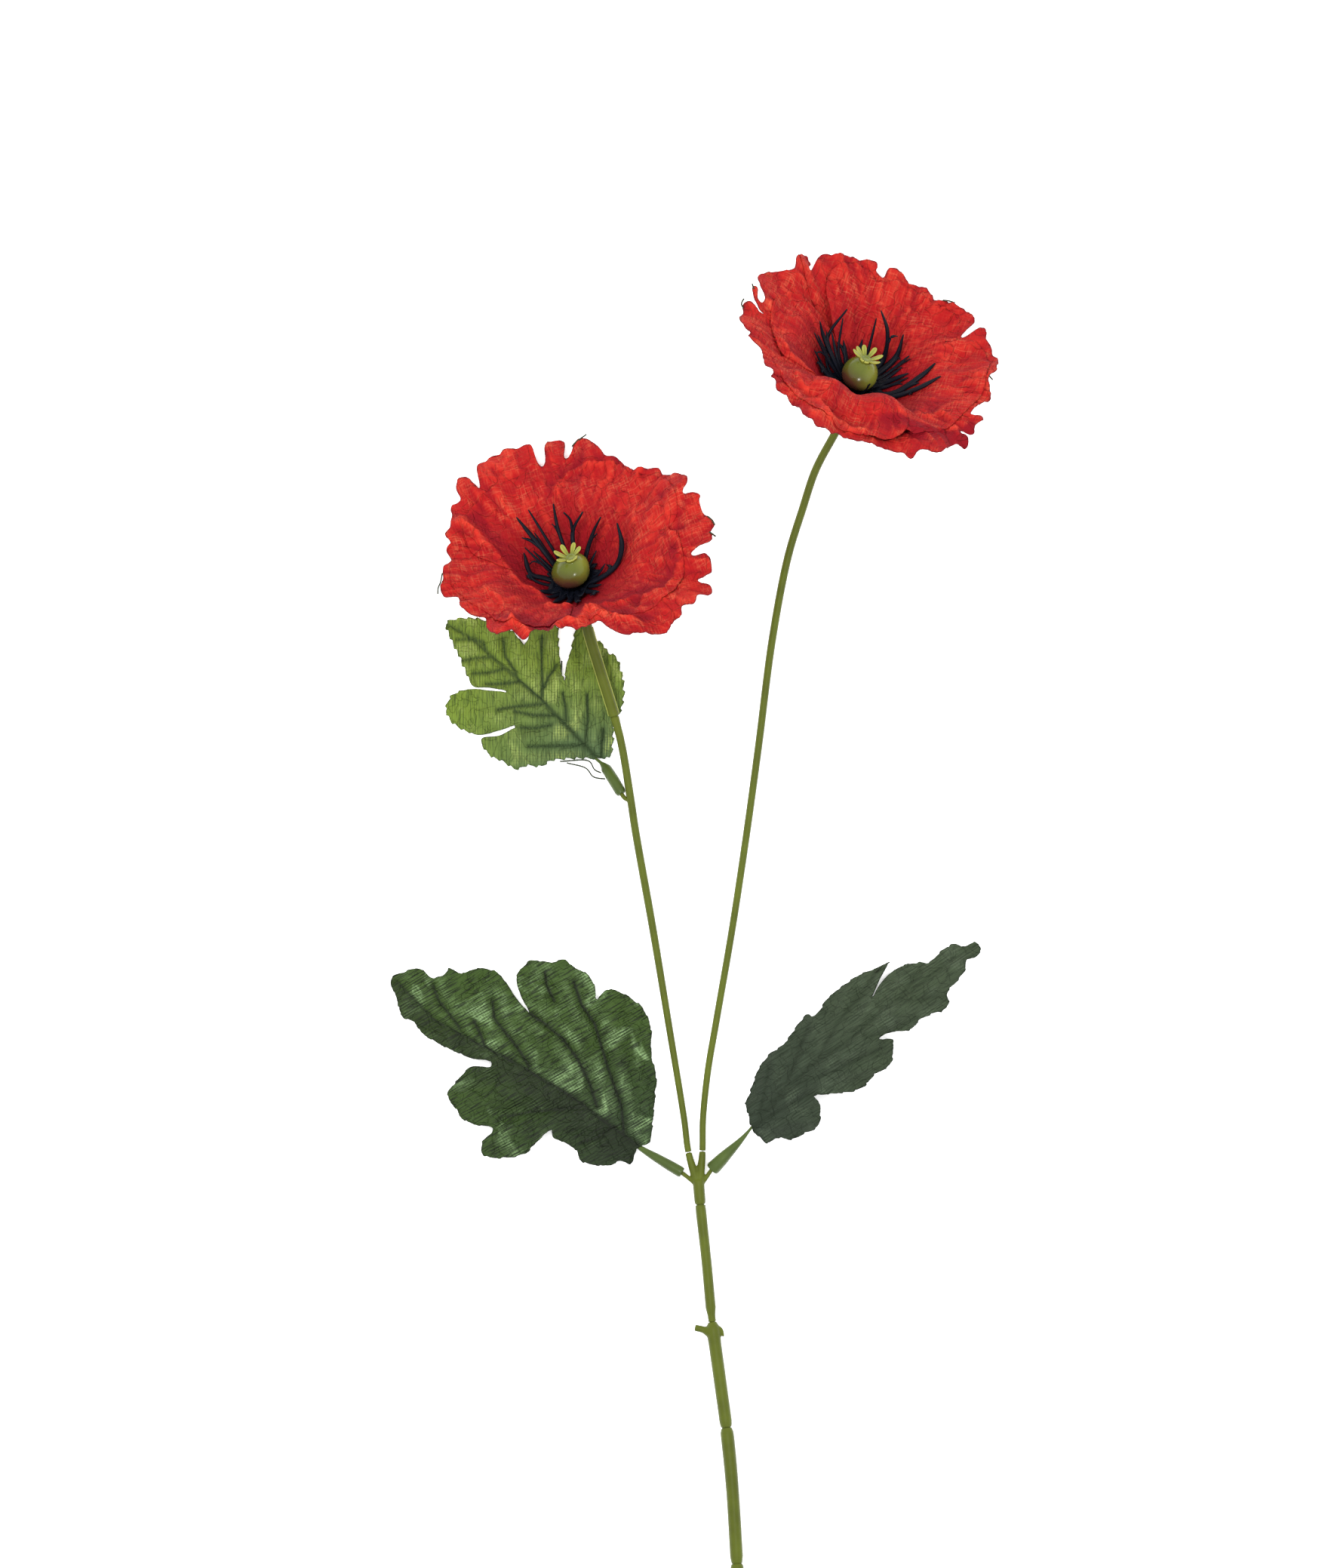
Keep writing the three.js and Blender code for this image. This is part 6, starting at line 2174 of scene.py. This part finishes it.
UPPER_LEAF = LeafBlade(
    name="upper",
    slot=Slot.UPPER_LEAF,
    base=(-22, 6.8),
    heading=137.8,
    rise=(2.15, 1.2, 1.6),
    fall=0.0,
    pleat=Pleat(0.45, 12, 2, 1),
    outline=(
        (-0.9, -4), (2, -7.9), (5.5, -12.5), (7.6, -18.4), (10.4, -23), (15.7, -27.9), (21.3, -30.7),
        (24, -30.1), (27.4, -31), (29.7, -30.7), (37.2, -33.2), (39, -30.9), (37.8, -28.1), (34.3, -22.1),
        (31.7, -16.7), (28.9, -12.6), (33, -15.5), (38.4, -20.3), (41.8, -23.8), (47.7, -27.5), (51.9, -25),
        (50.5, -19.2), (47.2, -13.1), (53, -13.3), (59.3, -13.1), (62.9, -10), (68.5, -6.1), (72.3, 0),
        (67.2, 3.1), (63.2, 4.7), (58.9, 6.6), (54.6, 8.5), (50.8, 9.8), (46.6, 6.5), (40.7, 3.1),
        (45.9, 7.3), (50.5, 10.8), (53.9, 15.7), (53.8, 19.5), (52.1, 22.5), (47.8, 23.9), (38.9, 21.5),
        (34, 15.2), (30.8, 9.6), (32.5, 15.9), (36.6, 21.2), (35, 22.8), (30.1, 23.4), (25.9, 22.2),
        (20.8, 21.1), (18.6, 17.5), (14.8, 14.4), (14.2, 11.6), (9.6, 5.9), (3.8, 0.8),
    ),
    veins=(
        ((-0.3, -0.4), (30.2, -2.5), (52.5, -2.1), (62.2, -2.1), (71.8, 0.2)),
        ((9.1, -1.5), (14.2, -8.6), (19.9, -14.5)), ((19.1, -2.9), (22.5, -6.3), (26.5, -9.2)),
        ((30.8, -3.3), (34.2, -7.3), (38.3, -11.5), (45, -18.9)),
        ((32.4, -6.4), (33.9, -10.2), (34.3, -15)), ((52.5, -2.1), (56.6, 1.9), (59.5, 5.9)),
        ((46.7, -2.2), (49.7, 2.5), (53.8, 6.5)), ((40.1, -2), (43.9, 2.4), (48.1, 6.3)),
        ((23.4, -1.5), (28.8, 3.3), (34.7, 6.8)), ((29.2, -1.5), (35.7, 5.7), (39.3, 10.3)),
        ((9.4, -0.3), (16, 6), (22.9, 12.6)), ((21.9, 1.6), (25.1, 5.9), (29.1, 9.4)),
        ((56.1, -2.4), (58.7, -3.9), (63.5, -0.6), (65.8, 1.8)), ((42.7, -3.5), (49.5, -5.2), (54.4, -9.2)),
        ((0.7, -0.8), (4.9, -5.4), (7.7, -9.3)),
    ),
    vein_tone=1.0,
    painted_side_shade=0.15,
    tooth=(3.4, 1),
    threads=(
        ((11.3, 8.9, 0.4), (3.9, 2.1, 1), (0.5, 3, 1), (-1.8, 2.3, 0.6)),
        ((9.2, 7.7, 0.4), (3, 4.6, 1.2), (-0.8, 5.1, 1), (-4.3, 2.9, 0.6)),
        ((34.1, -17.2, 0.3), (32.8, -15.7, 0.6), (31.7, -14.2, 0.3)),
    ),
)
LEFT_LEAF = LeafBlade(
    name="left",
    slot=Slot.LEFT_LEAF,
    base=(-10.1, -124.2),
    heading=145.8,
    rise=(2.2, 6, 2.4),
    fall=0.055,
    pleat=Pleat(0.9, 17, 3, 0.9),
    outline=(
        (-3.6, -3.6), (-0.1, -10.1), (3.8, -17.1), (7.5, -23.4), (12.6, -28), (18.8, -36.5), (24.3, -40),
        (30.4, -40.7), (35.6, -40), (38.5, -38.4), (39.4, -33.8), (42.6, -37.2), (47.4, -39.2),
        (52.1, -38.4), (55.8, -39.1), (59.7, -35.4), (65.5, -32.2), (66.8, -28), (66.4, -24.3),
        (62.4, -20.6), (56, -16.9), (63.3, -18.8), (67.2, -20.5), (73.1, -22.1), (79.4, -19.5),
        (82.8, -15.1), (87.5, -13.8), (87.7, -11.1), (90.5, -8.1), (95.8, -8.3), (99.5, -4.3), (102, 0.3),
        (96.4, 4.9), (91.5, 8.7), (86.6, 8.2), (82.8, 9.7), (78, 9.6), (69.9, 8.6), (63, 7), (57.8, 4.5),
        (56.5, 5.9), (62, 9.6), (63.3, 15.3), (63.3, 22.5), (58.2, 24.7), (55.2, 26.2), (50.3, 25.7),
        (43.7, 23), (44.3, 29.2), (41.6, 32.6), (35, 29.3), (29.9, 23.9), (28.5, 16.5), (26.9, 12),
        (25.4, 14), (21.7, 13.5), (16.4, 13.1), (12.5, 15.3), (3.9, 11.4), (1.5, 7.8), (-2.4, 6.4),
        (-1.1, 1.6),
    ),
    veins=(
        ((-0.4, 0.1), (28.5, -1.1), (51.6, 0.2), (61.9, 1.5), (81.4, 3.6), (99.8, 0)),
        ((5.8, -0.9), (11.4, -7.9), (22.7, -16.3), (29.7, -21.9), (35.1, -26.3), (42.7, -29.2),
         (49.4, -34.3)),
        ((18.5, -3.1), (25.6, -8.7), (33.3, -13.1), (41.8, -16.1), (49.4, -16.6), (55.1, -16.7)),
        ((45.6, -1.5), (51.3, -4.1), (57.6, -6.2), (64.8, -8.5), (68.7, -13.1)),
        ((72.8, 0.9), (75.9, -0.2), (84, -2.7), (88.7, -5.9)),
        ((23.5, 0.3), (31.1, 6.7), (37.2, 12), (41.9, 16.8)), ((9.9, -0.9), (12.6, 5.7), (15.8, 10.3)),
        ((61.9, 1.5), (65.2, -1), (70.4, -3.9)), ((51.1, -25), (56.3, -27.9), (59.4, -31.4)),
    ),
    vein_tone=1.0,
    painted_side_shade=0.7,
    tooth=(5.5, 0.45),
)
RIGHT_LEAF = LeafBlade(
    name="right",
    slot=Slot.RIGHT_LEAF,
    base=(29.2, -118),
    heading=37.8,
    rise=(10.2, 18, 8),
    fall=0.72,
    pleat=Pleat(0.7, 15, 0, 1.6),
    outline=(
        (3.6, 7.2), (9.8, 11.1), (14.4, 13.9), (20.5, 15.6), (25.9, 15.4), (35, 17.9), (39.5, 18.4),
        (40.6, 16.6), (47.5, 18.5), (55.6, 18.7), (62.4, 18.2), (66.8, 16.7), (71.9, 15.5), (66.2, 12.8),
        (59.7, 9.1), (65, 11.3), (70.1, 12.2), (75.6, 11.5), (80.8, 9), (83.2, 6.9), (88.4, 7.5),
        (94.1, 6.7), (96.3, 3.8), (100, 2.9), (100.4, -0.2), (96.7, -1.3), (94.1, -0.1), (91.9, -2.4),
        (86.7, -3.9), (81.9, -5), (80.4, -7.8), (77, -9.2), (74.2, -7.8), (68.6, -6.6), (64.2, -7.2),
        (58.7, -4.1), (56.5, -3.2), (53.5, -3), (57.2, -6.3), (56, -8), (51.4, -12.4), (44.6, -11.9),
        (39.8, -13), (36.3, -12.3), (26.5, -6.5), (23.7, -4.9), (23.9, -7.8), (18.6, -14.1), (13.3, -13.1),
        (8.5, -12.2), (4.9, -8.6), (1, -8), (0.3, -4.2), (-0.2, -1.8),
    ),
    veins=(
        ((-0.3, -1), (10.1, 2.1), (20.3, 3), (32.8, 3.6), (46.4, 2.7), (61, 4.1), (72, 2.7), (88.1, 3),
         (99.1, 1.7)),
        ((0.1, -0.5), (9.1, -1.2), (18.3, -2.7), (23.9, -3.8)),
        ((7, 1.3), (21.8, 1.8), (32.6, -1.8), (42.8, -4.1), (52.9, -6.4)),
        ((18.8, 4.1), (27.6, 9.3), (36.8, 14.9)), ((33.6, 4.6), (45.5, 9.7), (60.3, 13.4), (68.5, 15.8)),
        ((50.3, 0.4), (58.9, -3.9), (68.5, -4.9)), ((61, 4.1), (68.7, 3.7), (78.7, 6.3)),
        ((67.6, 2.2), (75.8, -2.6), (80.7, -5.6)), ((4, 0.4), (10.9, 6.3), (17.8, 12.1)),
    ),
    vein_tone=0.4,
    painted_side_shade=0.0,
    tooth=(4.5, 0.5),
    threads=(((66.5, 15.8, 0.2), (69.4, 15.9, 0.3), (72.6, 15.4, 0.4)),),
)


# Studio

@dataclass
class Studio:
    """The pale floor, the soft light and the camera."""

    frame_height: float = 540.3
    distance: float = 8000.0
    aim: Pair = (-10.1, 64.6)
    sensor: float = 36.0
    floor: Pair = (8000.0, -0.2)  # size and height
    clip: Pair = (0.5, 40.0)  # nearest and farthest that the camera sees, in metres
    world_strength: float = 0.95
    left_power: float = 24.0
    right_power: float = 6.0
    front_power: float = 9.0

    def build(self) -> None:
        """Sets up the floor, the light and the camera."""
        bm = bmesh.new()
        bmesh.ops.create_grid(bm, x_segments=1, y_segments=1, size=self.floor[0] / 2 * MM)
        floor = make_object("floor", bm)
        floor.location.z = self.floor[1] * MM
        floor.data.materials.append(FloorPaper().material())
        world = bpy.data.worlds.new("soft_white")
        world.use_nodes = True
        background = world.node_tree.nodes["Background"]
        background.inputs["Color"].default_value = (1, 1, 1, 1)
        background.inputs["Strength"].default_value = self.world_strength
        bpy.context.scene.world = world
        self.add_softbox("left_softbox", Vector((-0.6, 0.35, 1.5)), 0.7, self.left_power, glossy=False)
        self.add_softbox("right_softbox", Vector((0.9, 0.3, 0.9)), 0.5, self.right_power, glossy=False)
        self.add_softbox("front_softbox", Vector((0.15, -0.1, 2.2)), 0.2, self.front_power)
        camera_data = bpy.data.cameras.new("camera")
        camera_data.sensor_width = self.sensor
        camera_data.lens = self.sensor * self.distance / self.frame_height
        camera_data.clip_start, camera_data.clip_end = self.clip
        camera = bpy.data.objects.new("camera", camera_data)
        camera.location = Vector((*self.aim, self.distance)) * MM
        bpy.context.scene.collection.objects.link(camera)
        bpy.context.scene.camera = camera
        bpy.context.scene.view_settings.view_transform = "Standard"

    def add_softbox(
        self, name: str, place: Vector, size: float, power: float, *, glossy: bool = True
    ) -> None:
        """Adds a square light that faces the spray.

        Args:
            name: its name.
            place: its middle, in metres.
            size: its side, in metres.
            power: its power, in watts.
            glossy: whether glossy surfaces mirror it.
        """
        data = bpy.data.lights.new(name, "AREA")
        data.size = size
        data.energy = power
        lamp = bpy.data.objects.new(name, data)
        lamp.location = place
        lamp.rotation_euler = (-place + Vector((*self.aim, 0)) * MM).to_track_quat("-Z", "Y").to_euler()
        lamp.visible_camera = False
        lamp.visible_glossy = glossy
        bpy.context.scene.collection.objects.link(lamp)


def main() -> None:
    """Builds the spray in order and reports each piece."""
    Studio().build()
    thread, green, deep_green, black = (
        MouldedPlastic(*values).material()
        for values in (
            ("spun_polyester_thread", "#363d2e", "#2b3125", 0.7, 0.1, 0.004, 0.0003),
            ("moulded_polyethylene_stem", "#4e5718", "#424913", 0.45, 0.2),
            ("moulded_polyethylene_leaf_stalk", "#445422", "#35421b", 0.34, 0.3),
            ("moulded_polyethylene_stamens", "#0d1019", "#0a0c13", 0.4, 0.14, 0.003),
        )
    )
    petal = PetalCloth().material()
    pod_green = PodPlastic().material()
    steel = DrawnWire().material()
    leaf_finishes = [
        LeafCloth(f"pressed_polyester_{name}_leaf", *values)
        for name, *values in (
            ("upper", "#46593c", "#62752c", "#96a65c", "#26331e", 0.6, 0.1, 47.8, 0.52),
            ("left", "#26351c", "#31441a", "#7a9566", "#12170e", 0.38, 0.2, 116, 0.8, 0.85),
            ("right", "#2c342a", "#353f2e", "#465140", "#1c2319", 0.7, 0.1, 5, 0.5),
        )
    ]
    pieces = []
    for bloom in (LEFT_BLOOM, RIGHT_BLOOM):
        pieces += bloom.build(petal, black, pod_green, green, thread)
    pieces += Stems().build(green, steel)
    for stalk in (LEFT_STALK, RIGHT_STALK, UPPER_STALK):
        pieces.append(stalk.build(deep_green))
    for leaf, finish in zip((UPPER_LEAF, LEFT_LEAF, RIGHT_LEAF), leaf_finishes):
        pieces += leaf.build(finish.material(), thread)
    for node in ("flower_wire_left", "flower_wire_right"):
        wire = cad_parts[node]
        wire.data.materials.clear()
        wire.data.materials.append(steel)
        pieces.append(wire)
    for piece in pieces:
        log.info("%s: %d faces", piece.name, len(piece.data.polygons))


if __name__ == "__main__":
    logging.basicConfig(level=logging.INFO, format="%(name)s %(message)s")
    main()
